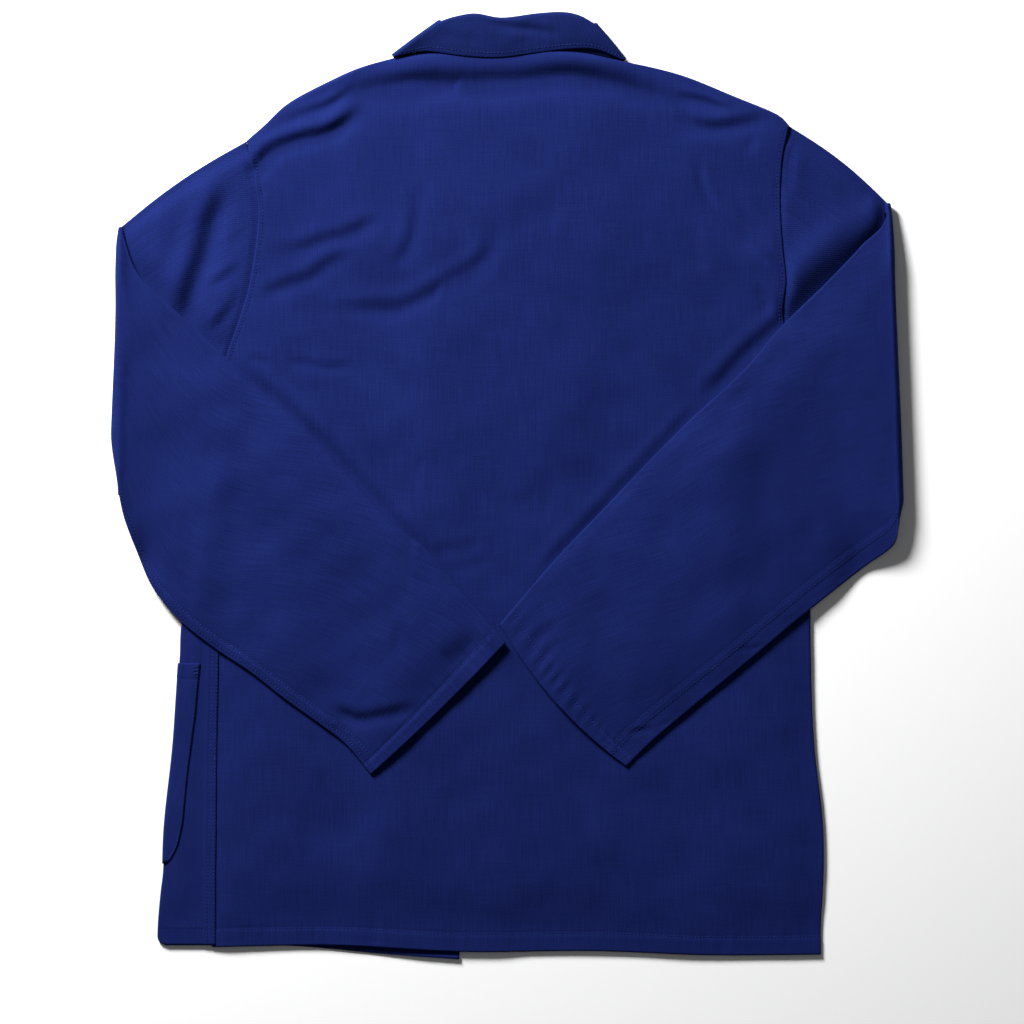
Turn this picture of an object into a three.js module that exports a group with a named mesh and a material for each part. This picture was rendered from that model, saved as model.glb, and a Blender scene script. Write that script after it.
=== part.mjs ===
import * as THREE from 'three';

// A chore jacket laid on its front on a table, with both sleeves folded across its back.
// Millimetres, +Z up from the table and +Y towards the collar. Left and right are the wearer's,
// and the wearer's left lies at -X. The origin is on the table under the middle of the jacket.

// Driving dimensions
const CLOTH = 1.2;
const COLLAR_CLOTH = 1.6;
const SEAM_GAP = 0.44;
const SHOULDER_GAP = 0.3;
const LAY_GAP = 0.4;
const FRONT_LEVEL = CLOTH / 2;
const BACK_LEVEL = 5.4;
const FOLD_STEPS = 4;
const ARMPIT_Y_LEFT = 27;
const ARMPIT_Y_RIGHT = 44;
const MIDDLE_X = -0.3;

// Front lap: the left front covers the right one, and the buttons lie on its outside, on the table
const LAP_WIDTH = 42;
const LAP_EDGE_AT_NECK = { x: 24, y: 294 };
const LAP_EDGE_AT_HEM = { x: -42, y: -406 };
const BUTTON_COUNT = 5;
const BUTTON_TOP_Y = 272;
const BUTTON_PITCH = 135;
const BUTTON_DIAMETER = 20;
const BUTTON_THICKNESS = 2.6;
const BUTTON_HOLE_DIAMETER = 2.2;
const BUTTON_HOLE_OFFSET = 2.3;
const LEFT_LAP_LIFT = BUTTON_THICKNESS + LAY_GAP;
const LAP_GAP = LAY_GAP + 0.3;
const BACK_LAP_LIFT = 1.9;

// Ramps beside the lifted stretches, across from the button line or along the body
const LEFT_LAP_RAMP = { from: -68, to: -38 };
const RIGHT_LAP_RAMP = { from: 50, to: 82 };
const BACK_LAP_RAMP_LEFT = { from: -95, to: -50 };
const BACK_LAP_RAMP_RIGHT = { from: 78, to: 125 };
const LAP_HEM_RAMP = { from: -385, to: -325 };
const FRONT_NECK_RAMP = { from: 165, to: 205 };
const BACK_NECK_RAMP = { from: 150, to: 200 };

// Collar levels, measured from the middle height of the flattened neck
const NECK_MIDDLE = 5.1;
const STAND_HALF = 1.7;
const ROLL_BACK = 2.6;
const ROLL_FRONT = 1.3;
const EDGE_LEVEL_BACK = 3.9;
const EDGE_LEVEL_FRONT = 4.3;
const ROLL_ANGLES = [45, 90, 135];
const FALL_SHARES = [0, 0.33, 0.67, 1];
const FRONT_NECK_LIFT = 2.8;
const BACK_NECK_LIFT = NECK_MIDDLE + STAND_HALF - BACK_LEVEL;

// How the back keeps clear of the fronts below it
const FRONT_CLEARANCE = CLOTH + LAY_GAP + 0.2;
const FRONT_MARGIN = 30;
const STAND_LOWEST_Y = 280;

// Sleeves: half the height between the two layers, and the radius of the fold across the sleeve
const SLEEVE_HALF = (BACK_LEVEL - FRONT_LEVEL) / 2;
const SLEEVE_HALF_FOLDED = 1.8;
const SLEEVE_FOLD_RADIUS = 3.9;
const SLEEVE_REST = 0.5;
const FOLD_SETTLED_STATION = 3;
const CUFF_OVERLAP_LIFT = 5.3;
const CUFF_OVERLAP_RAMP = { from: -62, to: -28 };
const ELBOW_DROOP = 4.2;
const ELBOW_OUTSIDE_RAMP = { from: 12, to: 50 };
const ELBOW_BELOW_RAMP = { from: 22, to: 70 };

// Body outline from above, below the armpits: the edges are folds, the seams are the side seams
const BODY_EDGES = [
  { y: -408, left: -302.5, leftSeam: -255, right: 270, rightSeam: 214 },
  { y: -375, left: -301.5, leftSeam: -255, right: 270.5, rightSeam: 214 },
  { y: -340, left: -298.5, leftSeam: -255, right: 272, rightSeam: 215 },
  { y: -300, left: -297, leftSeam: -254.5, right: 272, rightSeam: 216 },
  { y: -222, left: -289, leftSeam: -254, right: 264, rightSeam: 219 },
  { y: -150, left: -284, leftSeam: -252.5, right: 261, rightSeam: 223 },
  { y: -60, left: -275, leftSeam: -253, right: 260.5, rightSeam: 232 },
  { y: 44, left: -256.5, leftSeam: -254, right: 258, rightSeam: 253 },
];

// Hem lines from above
const BACK_HEM = [
  { x: -255, y: -397 },
  { x: -149, y: -395.6 },
  { x: -43, y: -401 },
  { x: 79, y: -400.5 },
  { x: 172, y: -404 },
  { x: 270, y: -403.5 },
];
const LEFT_FRONT_HEM = [
  { x: -300, y: -395.5 },
  { x: -179, y: -396.5 },
  { x: -107, y: -403 },
  { x: -42, y: -407.6 },
];
const RIGHT_FRONT_HEM_Y = -398;

// Rows across the body above the armpits, armhole and shoulder points from above
const UPPER_ROWS = [
  { leftX: -252, leftY: 72, rightX: 251, rightY: 82 },
  { leftX: -243, leftY: 110, rightX: 242, rightY: 118 },
  { leftX: -232, leftY: 142, rightX: 237, rightY: 150 },
  { leftX: -223, leftY: 172, rightX: 239.5, rightY: 178 },
  { leftX: -217, leftY: 209, rightX: 236.5, rightY: 207 },
  { leftX: -215, leftY: 238, rightX: 234.5, rightY: 242 },
  { leftX: -219, leftY: 268, rightX: 236, rightY: 280 },
  { leftX: -225, leftY: 297, rightX: 242, rightY: 310 },
  { leftX: -210, leftY: 310, rightX: 231, rightY: 320 },
  { leftX: -188, leftY: 330, rightX: 195, rightY: 335 },
  { leftX: -148, leftY: 351, rightX: 156, rightY: 351 },
  { leftX: -124, leftY: 361, rightX: 126, rightY: 359.5 },
  { leftX: -96, leftY: 368.5, rightX: 98, rightY: 364.5 },
];
const SHOULDER_ROW = 7;
const NECK_RISE = 13;

// Front neck edges, a row for each of the last rows above
const FRONT_NECK = [
  { leftX: -20, leftY: 300, rightX: 26, rightY: 300 },
  { leftX: -50, leftY: 316, rightX: 56, rightY: 316 },
  { leftX: -68, leftY: 336, rightX: 73, rightY: 336 },
  { leftX: -78, leftY: 352, rightX: 82, rightY: 350 },
  { leftX: -86, leftY: 365, rightX: 88, rightY: 361 },
];

// Sleeve stations from the fold to the cuff, from above: the edge along the arm's top and the
// underarm edge; bow pushes the middle of a station towards the cuff
const LEFT_SLEEVE = {
  side: -1,
  foldTop: { x: -332.2, y: 218 },
  foldUnder: { x: -334, y: -8 },
  underarm: { x: -258.5, y: 31 },
  stations: [
    { topX: -321, topY: 187, underX: -329, underY: -30, bow: 0 },
    { topX: -304, topY: 167, underX: -319, underY: -57, bow: 0 },
    { topX: -275, topY: 141, underX: -307, underY: -85, bow: 0 },
    { topX: -244, topY: 112, underX: -286, underY: -112, bow: 0 },
    { topX: -201, topY: 72, underX: -255, underY: -138, bow: 0 },
    { topX: -149, topY: 22, underX: -222, underY: -160, bow: 0 },
    { topX: -100, topY: -31, underX: -190, underY: -185, bow: 0 },
    { topX: -66, topY: -59, underX: -162, underY: -205, bow: 0 },
    { topX: -36, topY: -94, underX: -140, underY: -222, bow: 1 },
    { topX: -2, topY: -135, underX: -118, underY: -248, bow: 2 },
  ],
};
const RIGHT_SLEEVE = {
  side: 1,
  foldTop: { x: 325.5, y: 243 },
  foldUnder: { x: 333.4, y: -33 },
  underarm: { x: 257.5, y: 48 },
  stations: [
    { topX: 310, topY: 211, underX: 330, underY: -50, bow: 0 },
    { topX: 277, topY: 178, underX: 309, underY: -68, bow: 0 },
    { topX: 237, topY: 139, underX: 278, underY: -92, bow: 0 },
    { topX: 203, topY: 100, underX: 248, underY: -116, bow: 0 },
    { topX: 158, topY: 58, underX: 215, underY: -144, bow: 0 },
    { topX: 125, topY: 25, underX: 181, underY: -172, bow: 1 },
    { topX: 82, topY: -20, underX: 152, underY: -196, bow: 3 },
    { topX: 39, topY: -65, underX: 126, underY: -218, bow: 5 },
    { topX: -7, topY: -119, underX: 102, underY: -241, bow: 9 },
  ],
};
const UPPER_SLEEVE_STEPS = 3;
// How far the edge along the top of the arm bulges between the shoulder and the fold
const SHOULDER_BULGE = { x: 2.4, y: 3.2 };

// Patch pockets: the bottom corners are cut back; outer is the edge near the side seam
const LEFT_POCKET = [
  { y: -152.5, inner: -135, outer: -265 },
  { y: -195, inner: -135, outer: -269 },
  { y: -248, inner: -135, outer: -276 },
  { y: -290, inner: -135, outer: -280 },
  { y: -311, inner: -138, outer: -285 },
  { y: -325, inner: -150, outer: -290 },
];
const RIGHT_POCKET = [
  { y: -152.5, inner: 29, outer: 207 },
  { y: -195, inner: 29, outer: 203 },
  { y: -248, inner: 29, outer: 196 },
  { y: -290, inner: 29, outer: 189 },
  { y: -311, inner: 32, outer: 183 },
  { y: -325, inner: 44, outer: 172 },
];
const POCKET_LIFT = CLOTH + LAY_GAP;
const POCKET_MARGIN = 32;
const POCKET_RAMP = 28;

// The largest folds of the back, from above: a trough or ridge from start to end
const BACK_FOLDS = [
  { startX: -214, startY: 290, endX: -133, endY: 326, width: 13, height: -1.8 },
  { startX: -133, startY: 326, endX: -60, endY: 350, width: 13, height: -1.8 },
  { startX: -60, startY: 350, endX: 70, endY: 348, width: 12, height: -1.4 },
  { startX: 96, startY: 341, endX: 196, endY: 309, width: 13, height: -1.6 },
  { startX: -222, startY: 160, endX: -122, endY: 210, width: 13, height: -1.6 },
  { startX: -206, startY: 196, endX: -100, endY: 236, width: 13, height: 1.3 },
  { startX: -157, startY: 154, endX: -60, endY: 170, width: 14, height: -1.6 },
  { startX: -60, startY: 170, endX: -13, endY: 224, width: 14, height: -1.4 },
  { startX: 162, startY: 278, endX: 222, endY: 196, width: 13, height: -1.5 },
  { startX: 134, startY: 270, endX: 190, endY: 190, width: 14, height: 1.2 },
  { startX: -15, startY: 130, endX: -4, endY: 92, width: 14, height: 1.2 },
];

// Collar stations from the left front end round the back to the right front end, from above: the
// seam on the neck, the roll and the free edge; turn is 0 on the back and 180 under the fronts
const COLLAR = [
  { seamX: -1, seamY: 304, rollX: -1, rollY: 311, edgeX: -50, edgeY: 238, turn: 180 },
  { seamX: -24, seamY: 304.5, rollX: -22, rollY: 313, edgeX: -82, edgeY: 248, turn: 180 },
  { seamX: -48.5, seamY: 318, rollX: -42, rollY: 325, edgeX: -107, edgeY: 276, turn: 180 },
  { seamX: -66, seamY: 338, rollX: -56, rollY: 344, edgeX: -118, edgeY: 310, turn: 180 },
  { seamX: -76, seamY: 354, rollX: -60, rollY: 365, edgeX: -114, edgeY: 344, turn: 180 },
  { seamX: -87, seamY: 370, rollX: -55, rollY: 394, edgeX: -97, edgeY: 367, turn: 180 },
  { seamX: -87, seamY: 371.5, rollX: -55, rollY: 394, edgeX: -97, edgeY: 367, turn: 0 },
  { seamX: -64, seamY: 375.2, rollX: -44, rollY: 400.5, edgeX: -72, edgeY: 373.5, turn: 0 },
  { seamX: -38, seamY: 378.7, rollX: -28, rollY: 405.5, edgeX: -40, edgeY: 369.5, turn: 0 },
  { seamX: -6, seamY: 380.5, rollX: -5, rollY: 402, edgeX: -8, edgeY: 368, turn: 0 },
  { seamX: 24, seamY: 379, rollX: 24, rollY: 405.5, edgeX: 24, edgeY: 372, turn: 0 },
  { seamX: 50, seamY: 375.5, rollX: 46, rollY: 406.8, edgeX: 54, edgeY: 375.5, turn: 0 },
  { seamX: 70, seamY: 371.8, rollX: 60, rollY: 402.5, edgeX: 77, edgeY: 375, turn: 0 },
  { seamX: 89, seamY: 368, rollX: 72, rollY: 391, edgeX: 98, edgeY: 364, turn: 0 },
  { seamX: 89, seamY: 366, rollX: 72, rollY: 391, edgeX: 98, edgeY: 364, turn: 180 },
  { seamX: 80, seamY: 352.5, rollX: 66, rollY: 362, edgeX: 117, edgeY: 340, turn: 180 },
  { seamX: 71.5, seamY: 338, rollX: 61, rollY: 344, edgeX: 122, edgeY: 308, turn: 180 },
  { seamX: 54.5, seamY: 318, rollX: 48, rollY: 325, edgeX: 111, edgeY: 274, turn: 180 },
  { seamX: 30, seamY: 304.5, rollX: 28, rollY: 313, edgeX: 86, edgeY: 247, turn: 180 },
  { seamX: 7, seamY: 304, rollX: 7, rollY: 311, edgeX: 56, edgeY: 238, turn: 180 },
];
const COLLAR_TURN_STEPS = 4;

const CLOTH_BLUE = 0x1d2663;
const BUTTON_BLUE = 0x1a2148;
const CLOTH_ROUGHNESS = 0.93;
const BUTTON_ROUGHNESS = 0.42;

// Ramps and tables

function smooth(from, to, value) {
  const t = Math.min(1, Math.max(0, (value - from) / (to - from)));
  return t * t * (3 - 2 * t);
}

const ramp = (range, value) => smooth(range.from, range.to, value);

function readTable(table, key, column, value) {
  const rising = table[table.length - 1][key] > table[0][key];
  const rows = rising ? table : [...table].reverse();
  let i = 0;
  while (i < rows.length - 2 && value > rows[i + 1][key]) i += 1;
  const t = (value - rows[i][key]) / (rows[i + 1][key] - rows[i][key]);
  const inside = Math.min(1, Math.max(0, t));
  return rows[i][column] + (rows[i + 1][column] - rows[i][column]) * inside;
}

const bodyEdge = (column, y) => readTable(BODY_EDGES, 'y', column, y);

function lapEdge(y) {
  const t = (y - LAP_EDGE_AT_HEM.y) / (LAP_EDGE_AT_NECK.y - LAP_EDGE_AT_HEM.y);
  return LAP_EDGE_AT_HEM.x + (LAP_EDGE_AT_NECK.x - LAP_EDGE_AT_HEM.x) * t;
}

const buttonLine = (y) => lapEdge(y) - LAP_WIDTH / 2;

function distanceToSegment(x, y, fold) {
  const dx = fold.endX - fold.startX;
  const dy = fold.endY - fold.startY;
  const t = ((x - fold.startX) * dx + (y - fold.startY) * dy) / (dx * dx + dy * dy);
  const inside = Math.min(1, Math.max(0, t));
  return Math.hypot(x - fold.startX - dx * inside, y - fold.startY - dy * inside);
}

// Heights of the middle of each cloth layer

// Near the hem the lap lies down on the table again, below the lowest button
const lapFade = (y) => ramp(LAP_HEM_RAMP, y);

function pocketLift(x, y, pocket) {
  const top = pocket[0];
  const bottom = pocket[pocket.length - 1];
  const outward = Math.sign(top.outer - top.inner) * (x - top.inner);
  const lift = (beyond) => 1 - smooth(POCKET_MARGIN, POCKET_MARGIN + POCKET_RAMP, beyond);
  return POCKET_LIFT * lift(-outward) * lift(y - top.y) * lift(bottom.y - y);
}

function leftFrontLevel(x, y) {
  const lap = LEFT_LAP_LIFT * ramp(LEFT_LAP_RAMP, x - buttonLine(y)) * lapFade(y);
  const neck = FRONT_NECK_LIFT * ramp(FRONT_NECK_RAMP, y);
  return FRONT_LEVEL + Math.max(lap, neck, pocketLift(x, y, LEFT_POCKET));
}

function rightFrontLevel(x, y) {
  const overLap = 1 - ramp(RIGHT_LAP_RAMP, x - buttonLine(y));
  const overLeftFront = (CLOTH + LAP_GAP) * overLap;
  const lap = LEFT_LAP_LIFT * lapFade(y) * overLap;
  const neck = FRONT_NECK_LIFT * ramp(FRONT_NECK_RAMP, y);
  return FRONT_LEVEL + overLeftFront + Math.max(lap, neck, pocketLift(x, y, RIGHT_POCKET));
}

// The lowest that the back may lie over the fronts and the collar's stand
function clearOfFronts(x, y) {
  const overLeft = x < lapEdge(y) + FRONT_MARGIN ? leftFrontLevel(x, y) : 0;
  const overRight = x > lapEdge(y) - LAP_WIDTH - FRONT_MARGIN ? rightFrontLevel(x, y) : 0;
  const overStand = y > STAND_LOWEST_Y ? NECK_MIDDLE : 0;
  return Math.max(overLeft + FRONT_CLEARANCE, overRight + FRONT_CLEARANCE, overStand);
}

function backLevel(x, y) {
  const fromButtons = x - buttonLine(y);
  const overLap = ramp(BACK_LAP_RAMP_LEFT, fromButtons) - ramp(BACK_LAP_RAMP_RIGHT, fromButtons);
  const lap = BACK_LAP_LIFT * overLap * lapFade(y);
  const neck = BACK_NECK_LIFT * ramp(BACK_NECK_RAMP, y);
  let folds = 0;
  for (const fold of BACK_FOLDS) {
    const distance = distanceToSegment(x, y, fold);
    folds += fold.height * Math.exp(-((distance / fold.width) ** 2));
  }
  return Math.max(BACK_LEVEL + Math.max(lap, neck) + folds, clearOfFronts(x, y));
}

// Meshes

// Turns a grid of points on the middle of a wall into a closed wall. Cells whose corners are not
// all given are left out, and the wall's rim follows. A closed grid joins its last column to its first.
function thickWall(grid, thickness, closed = false) {
  const columns = Math.max(...grid.map((row) => row.length));
  const at = (i, j) => {
    const row = grid[i];
    return row ? row[closed ? (j + columns) % columns : j] : undefined;
  };
  const index = new Map();
  const positions = [];
  const half = thickness / 2;
  grid.forEach((row, i) => {
    row.forEach((point, j) => {
      const alongColumns = (at(i, j + 1) ?? point).clone().sub(at(i, j - 1) ?? point);
      const alongRows = (at(i + 1, j) ?? point).clone().sub(at(i - 1, j) ?? point);
      const normal = alongColumns.cross(alongRows).normalize();
      index.set(`${i},${j}`, index.size);
      positions.push(point.clone().addScaledVector(normal, half));
      positions.push(point.clone().addScaledVector(normal, -half));
    });
  });
  const outer = (i, j) => 2 * index.get(`${i},${closed ? j % columns : j}`);
  const triangles = [];
  const edges = new Set();
  const face = (a, b, c) => {
    triangles.push([a, b, c], [a + 1, c + 1, b + 1]);
    [[a, b], [b, c], [c, a]].forEach(([from, to]) => edges.add(`${from},${to}`));
  };
  const lastColumn = closed ? columns : columns - 1;
  for (let i = 0; i < grid.length - 1; i += 1) {
    for (let j = 0; j < lastColumn; j += 1) {
      if (!at(i, j) || !at(i, j + 1) || !at(i + 1, j) || !at(i + 1, j + 1)) continue;
      face(outer(i, j), outer(i, j + 1), outer(i + 1, j + 1));
      face(outer(i, j), outer(i + 1, j + 1), outer(i + 1, j));
    }
  }
  for (const edge of edges) {
    const [from, to] = edge.split(',').map(Number);
    if (edges.has(`${to},${from}`)) continue;
    triangles.push([to, from, from + 1], [to, from + 1, to + 1]);
  }
  return solidGeometry(positions, triangles);
}

// Keeps only the points that the faces use, and turns the faces outwards
function solidGeometry(positions, triangles) {
  let volume = 0;
  for (const [a, b, c] of triangles) {
    volume += positions[a].dot(positions[b].clone().cross(positions[c]));
  }
  const used = new Map();
  const coordinates = [];
  const order = triangles.flatMap(([a, b, c]) => (volume > 0 ? [a, b, c] : [a, c, b]));
  const indices = order.map((vertex) => {
    if (!used.has(vertex)) {
      used.set(vertex, used.size);
      coordinates.push(...positions[vertex].toArray());
    }
    return used.get(vertex);
  });
  const geometry = new THREE.BufferGeometry();
  geometry.setAttribute('position', new THREE.Float32BufferAttribute(coordinates, 3));
  geometry.setIndex(indices);
  geometry.computeVertexNormals();
  return geometry;
}

// Places along a width: the two ends have a narrow step, the rest are even
function spread(count, width, endStep) {
  const inner = [];
  for (let k = 0; k <= count; k += 1) inner.push(endStep + ((width - 2 * endStep) * k) / count);
  return [0, ...inner, width];
}

// A half turn of cloth, from the side that is given to the other one, round a line at centre
function foldPoints(centreX, y, centreZ, radius, side, downwards) {
  const points = [];
  for (let k = 1; k < FOLD_STEPS; k += 1) {
    const angle = (Math.PI * k) / FOLD_STEPS;
    const height = downwards ? Math.cos(angle) : -Math.cos(angle);
    const out = side * radius * Math.sin(angle);
    points.push(new THREE.Vector3(centreX + out, y, centreZ + radius * height));
  }
  return points;
}

// Body panels

const LOWER_STEPS = 12;
const lowerFractions = Array.from({ length: LOWER_STEPS + 1 }, (_, k) => k / LOWER_STEPS);

function backPanel() {
  const columns = 16;
  const endStep = 7;
  const grid = [];
  for (const f of lowerFractions) {
    const row = [];
    const rowY = (x) => {
      const armpit = ARMPIT_Y_LEFT + ((x + 255) / 512) * (ARMPIT_Y_RIGHT - ARMPIT_Y_LEFT);
      const hem = readTable(BACK_HEM, 'x', 'y', x);
      return hem + (armpit - hem) * f;
    };
    const leftX = bodyEdge('leftSeam', rowY(-255)) + SEAM_GAP / 2;
    const rightY = rowY(265);
    const radius = (BACK_LEVEL - FRONT_LEVEL) / 2;
    const centreX = bodyEdge('right', rightY) - CLOTH / 2 - radius;
    for (const place of spread(columns, centreX - leftX, endStep)) {
      const x = leftX + place;
      row.push(new THREE.Vector3(x, rowY(x), backLevel(x, rowY(x))));
    }
    row.push(...foldPoints(centreX, rightY, FRONT_LEVEL + radius, radius, 1, true));
    const seamX = bodyEdge('rightSeam', rightY) + SEAM_GAP / 2;
    for (const t of [0, 0.4, 1]) {
      row.push(new THREE.Vector3(centreX + (seamX - centreX) * t, rightY, FRONT_LEVEL));
    }
    grid.push(row);
  }
  UPPER_ROWS.forEach((upper, k) => {
    const last = k === UPPER_ROWS.length - 1;
    const leftX = upper.leftX + SEAM_GAP / 2;
    const width = upper.rightX - SEAM_GAP / 2 - leftX;
    const row = spread(columns, width, endStep).map((place) => {
      const t = place / width;
      const rise = last ? NECK_RISE * Math.sin(Math.PI * t) : 0;
      const x = leftX + place;
      const y = upper.leftY + (upper.rightY - upper.leftY) * t + rise;
      return new THREE.Vector3(x, y, backLevel(x, y));
    });
    // At the shoulders the back turns down to the fronts
    if (k >= SHOULDER_ROW) {
      const seated = FRONT_LEVEL + FRONT_NECK_LIFT + CLOTH + SHOULDER_GAP;
      row[0].z = seated;
      row[row.length - 1].z = seated;
    }
    grid.push(row);
  });
  return thickWall(grid, CLOTH);
}

function leftFrontRow(y, innerX) {
  const low = leftFrontLevel(bodyEdge('left', y) + 10, y);
  const radius = (BACK_LEVEL - low) / 2;
  const pocketShare = (low - FRONT_LEVEL) / POCKET_LIFT;
  const centreX = bodyEdge('left', y) + CLOTH / 2 + radius + POCKET_LIFT * pocketShare;
  return { low, radius, centreX, width: innerX - centreX, centreZ: low + radius };
}

function leftFrontPanel() {
  const columns = 9;
  const endStep = 12;
  const grid = [];
  for (const f of lowerFractions) {
    const rowY = (x) => {
      const hem = readTable(LEFT_FRONT_HEM, 'x', 'y', x);
      return hem + (ARMPIT_Y_LEFT - hem) * f;
    };
    const leftY = rowY(-297);
    const innerX = lapEdge(rowY(-42));
    const { low, radius, centreX, width, centreZ } = leftFrontRow(leftY, innerX);
    const row = spread(columns, width, endStep).map((place) => {
      const x = innerX - place;
      const level = x < centreX + 1 ? low : leftFrontLevel(x, rowY(x));
      return new THREE.Vector3(x, rowY(x), level);
    });
    row.push(...foldPoints(centreX, leftY, centreZ, radius, -1, false));
    const seamX = bodyEdge('leftSeam', leftY) - SEAM_GAP / 2;
    for (const t of [0, 0.5, 1]) {
      row.push(new THREE.Vector3(centreX + (seamX - centreX) * t, leftY, BACK_LEVEL));
    }
    grid.push(row);
  }
  UPPER_ROWS.forEach((upper, k) => {
    const outer = { x: upper.leftX + SEAM_GAP / 2, y: upper.leftY };
    grid.push(frontUpperRow(outer, k, 'left', columns, endStep, leftFrontLevel));
  });
  return thickWall(grid, CLOTH);
}

function rightFrontPanel() {
  const columns = 9;
  const endStep = 12;
  const grid = [];
  for (const f of lowerFractions) {
    const y = RIGHT_FRONT_HEM_Y + (ARMPIT_Y_RIGHT - RIGHT_FRONT_HEM_Y) * f;
    const innerX = lapEdge(y) - LAP_WIDTH;
    const outerX = bodyEdge('rightSeam', y) - SEAM_GAP / 2;
    const row = spread(columns, outerX - innerX, endStep).map((place) => {
      const x = innerX + place;
      const level = place === outerX - innerX ? FRONT_LEVEL : rightFrontLevel(x, y);
      return new THREE.Vector3(x, y, level);
    });
    grid.push(row);
  }
  UPPER_ROWS.forEach((upper, k) => {
    const outer = { x: upper.rightX - SEAM_GAP / 2, y: upper.rightY };
    grid.push(frontUpperRow(outer, k, 'right', columns, endStep, rightFrontLevel));
  });
  return thickWall(grid, CLOTH);
}

// A row of a front above the armpit, from the lap or neck edge out to the armhole or shoulder
function frontUpperRow(outer, k, side, columns, endStep, level) {
  const lap = side === 'left' ? 0 : LAP_WIDTH;
  let inner = { x: lapEdge(outer.y) - lap, y: Math.min(outer.y, LAP_EDGE_AT_NECK.y) };
  if (k > SHOULDER_ROW) {
    const neck = FRONT_NECK[k - SHOULDER_ROW - 1];
    inner = { x: neck[`${side}X`], y: neck[`${side}Y`] };
  }
  const width = Math.hypot(outer.x - inner.x, outer.y - inner.y);
  const step = Math.min(endStep, width / 6);
  return spread(columns, width, step).map((place) => {
    const t = place / width;
    const x = inner.x + (outer.x - inner.x) * t;
    const y = inner.y + (outer.y - inner.y) * t;
    // The armhole edge lies on the table beside the sleeve
    const atArmhole = t === 1 && k < SHOULDER_ROW;
    return new THREE.Vector3(x, y, atArmhole ? FRONT_LEVEL : level(x, y));
  });
}

// Pockets

function pocketRows(pocket) {
  const rows = [];
  for (let i = 0; i < pocket.length - 1; i += 1) {
    for (const t of [0, 0.5]) {
      const mix = (key) => pocket[i][key] + (pocket[i + 1][key] - pocket[i][key]) * t;
      rows.push({ y: mix('y'), inner: mix('inner'), outer: mix('outer') });
    }
  }
  rows.push(pocket[pocket.length - 1]);
  return rows;
}

function leftPocket() {
  const columns = 5;
  const grid = pocketRows(LEFT_POCKET).map(({ y, inner, outer }) => {
    const { radius, centreX, centreZ } = leftFrontRow(y, inner);
    const reach = radius + POCKET_LIFT;
    const row = [];
    for (let k = 0; k <= columns; k += 1) {
      row.push(new THREE.Vector3(inner + ((centreX - inner) * k) / columns, y, FRONT_LEVEL));
    }
    row.push(...foldPoints(centreX, y, centreZ, reach, -1, false));
    row.push(new THREE.Vector3(centreX, y, centreZ + reach));
    row.push(new THREE.Vector3(outer, y, centreZ + reach));
    return row;
  });
  return thickWall(grid, CLOTH);
}

function rightPocket() {
  const columns = 6;
  const grid = pocketRows(RIGHT_POCKET).map(({ y, inner, outer }) => {
    const row = [];
    for (let k = 0; k <= columns; k += 1) {
      row.push(new THREE.Vector3(inner + ((outer - inner) * k) / columns, y, FRONT_LEVEL));
    }
    return row;
  });
  return thickWall(grid, CLOTH);
}

// Sleeves

// The armhole from the shoulder down to the armpit, as the body's rows give it
function armhole(sleeve) {
  const key = sleeve.side < 0 ? 'left' : 'right';
  const points = UPPER_ROWS.slice(0, SHOULDER_ROW + 1).map((row) => ({
    x: row[`${key}X`] + (sleeve.side * SEAM_GAP) / 2,
    y: row[`${key}Y`],
  }));
  return [...points.reverse(), sleeve.underarm];
}

// Where the folded part of a sleeve lies: on the back, on the sleeve's own upper part, or lower
// past the body's edge
function sleeveRest(sleeve, x, y) {
  const edge = bodyEdge(sleeve.side < 0 ? 'left' : 'right', y);
  const outside = sleeve.side * (x - edge);
  const slope = (sleeve.underarm.y - sleeve.foldUnder.y) / (sleeve.underarm.x - sleeve.foldUnder.x);
  const underarmY = sleeve.underarm.y + (x - sleeve.underarm.x) * slope;
  const below = underarmY - y;
  const droop = ELBOW_DROOP * ramp(ELBOW_OUTSIDE_RAMP, outside) * ramp(ELBOW_BELOW_RAMP, below);
  const tip = sleeve.side < 0 ? CUFF_OVERLAP_LIFT * ramp(CUFF_OVERLAP_RAMP, x) : 0;
  return backLevel(x, y) + CLOTH + LAY_GAP + SLEEVE_REST - droop + tip;
}

// One station of a sleeve: a flattened ring. place gives a point from its share of the sleeve's
// width, its height from the sleeve's middle and its reach past the flat stretch.
function sleeveRing(shares, half, place) {
  const upper = shares.map((share) => place(share, half, 0));
  const lower = [...shares].reverse().map((share) => place(share, -half, 0));
  const roundEnd = (share, sign) => [45, 0, -45].map((degrees) => {
    const angle = (degrees * Math.PI) / 180;
    return place(share, half * Math.sin(angle) * sign, half * Math.cos(angle));
  });
  return [...upper, ...roundEnd(1, 1), ...lower, ...roundEnd(0, -1)];
}

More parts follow.
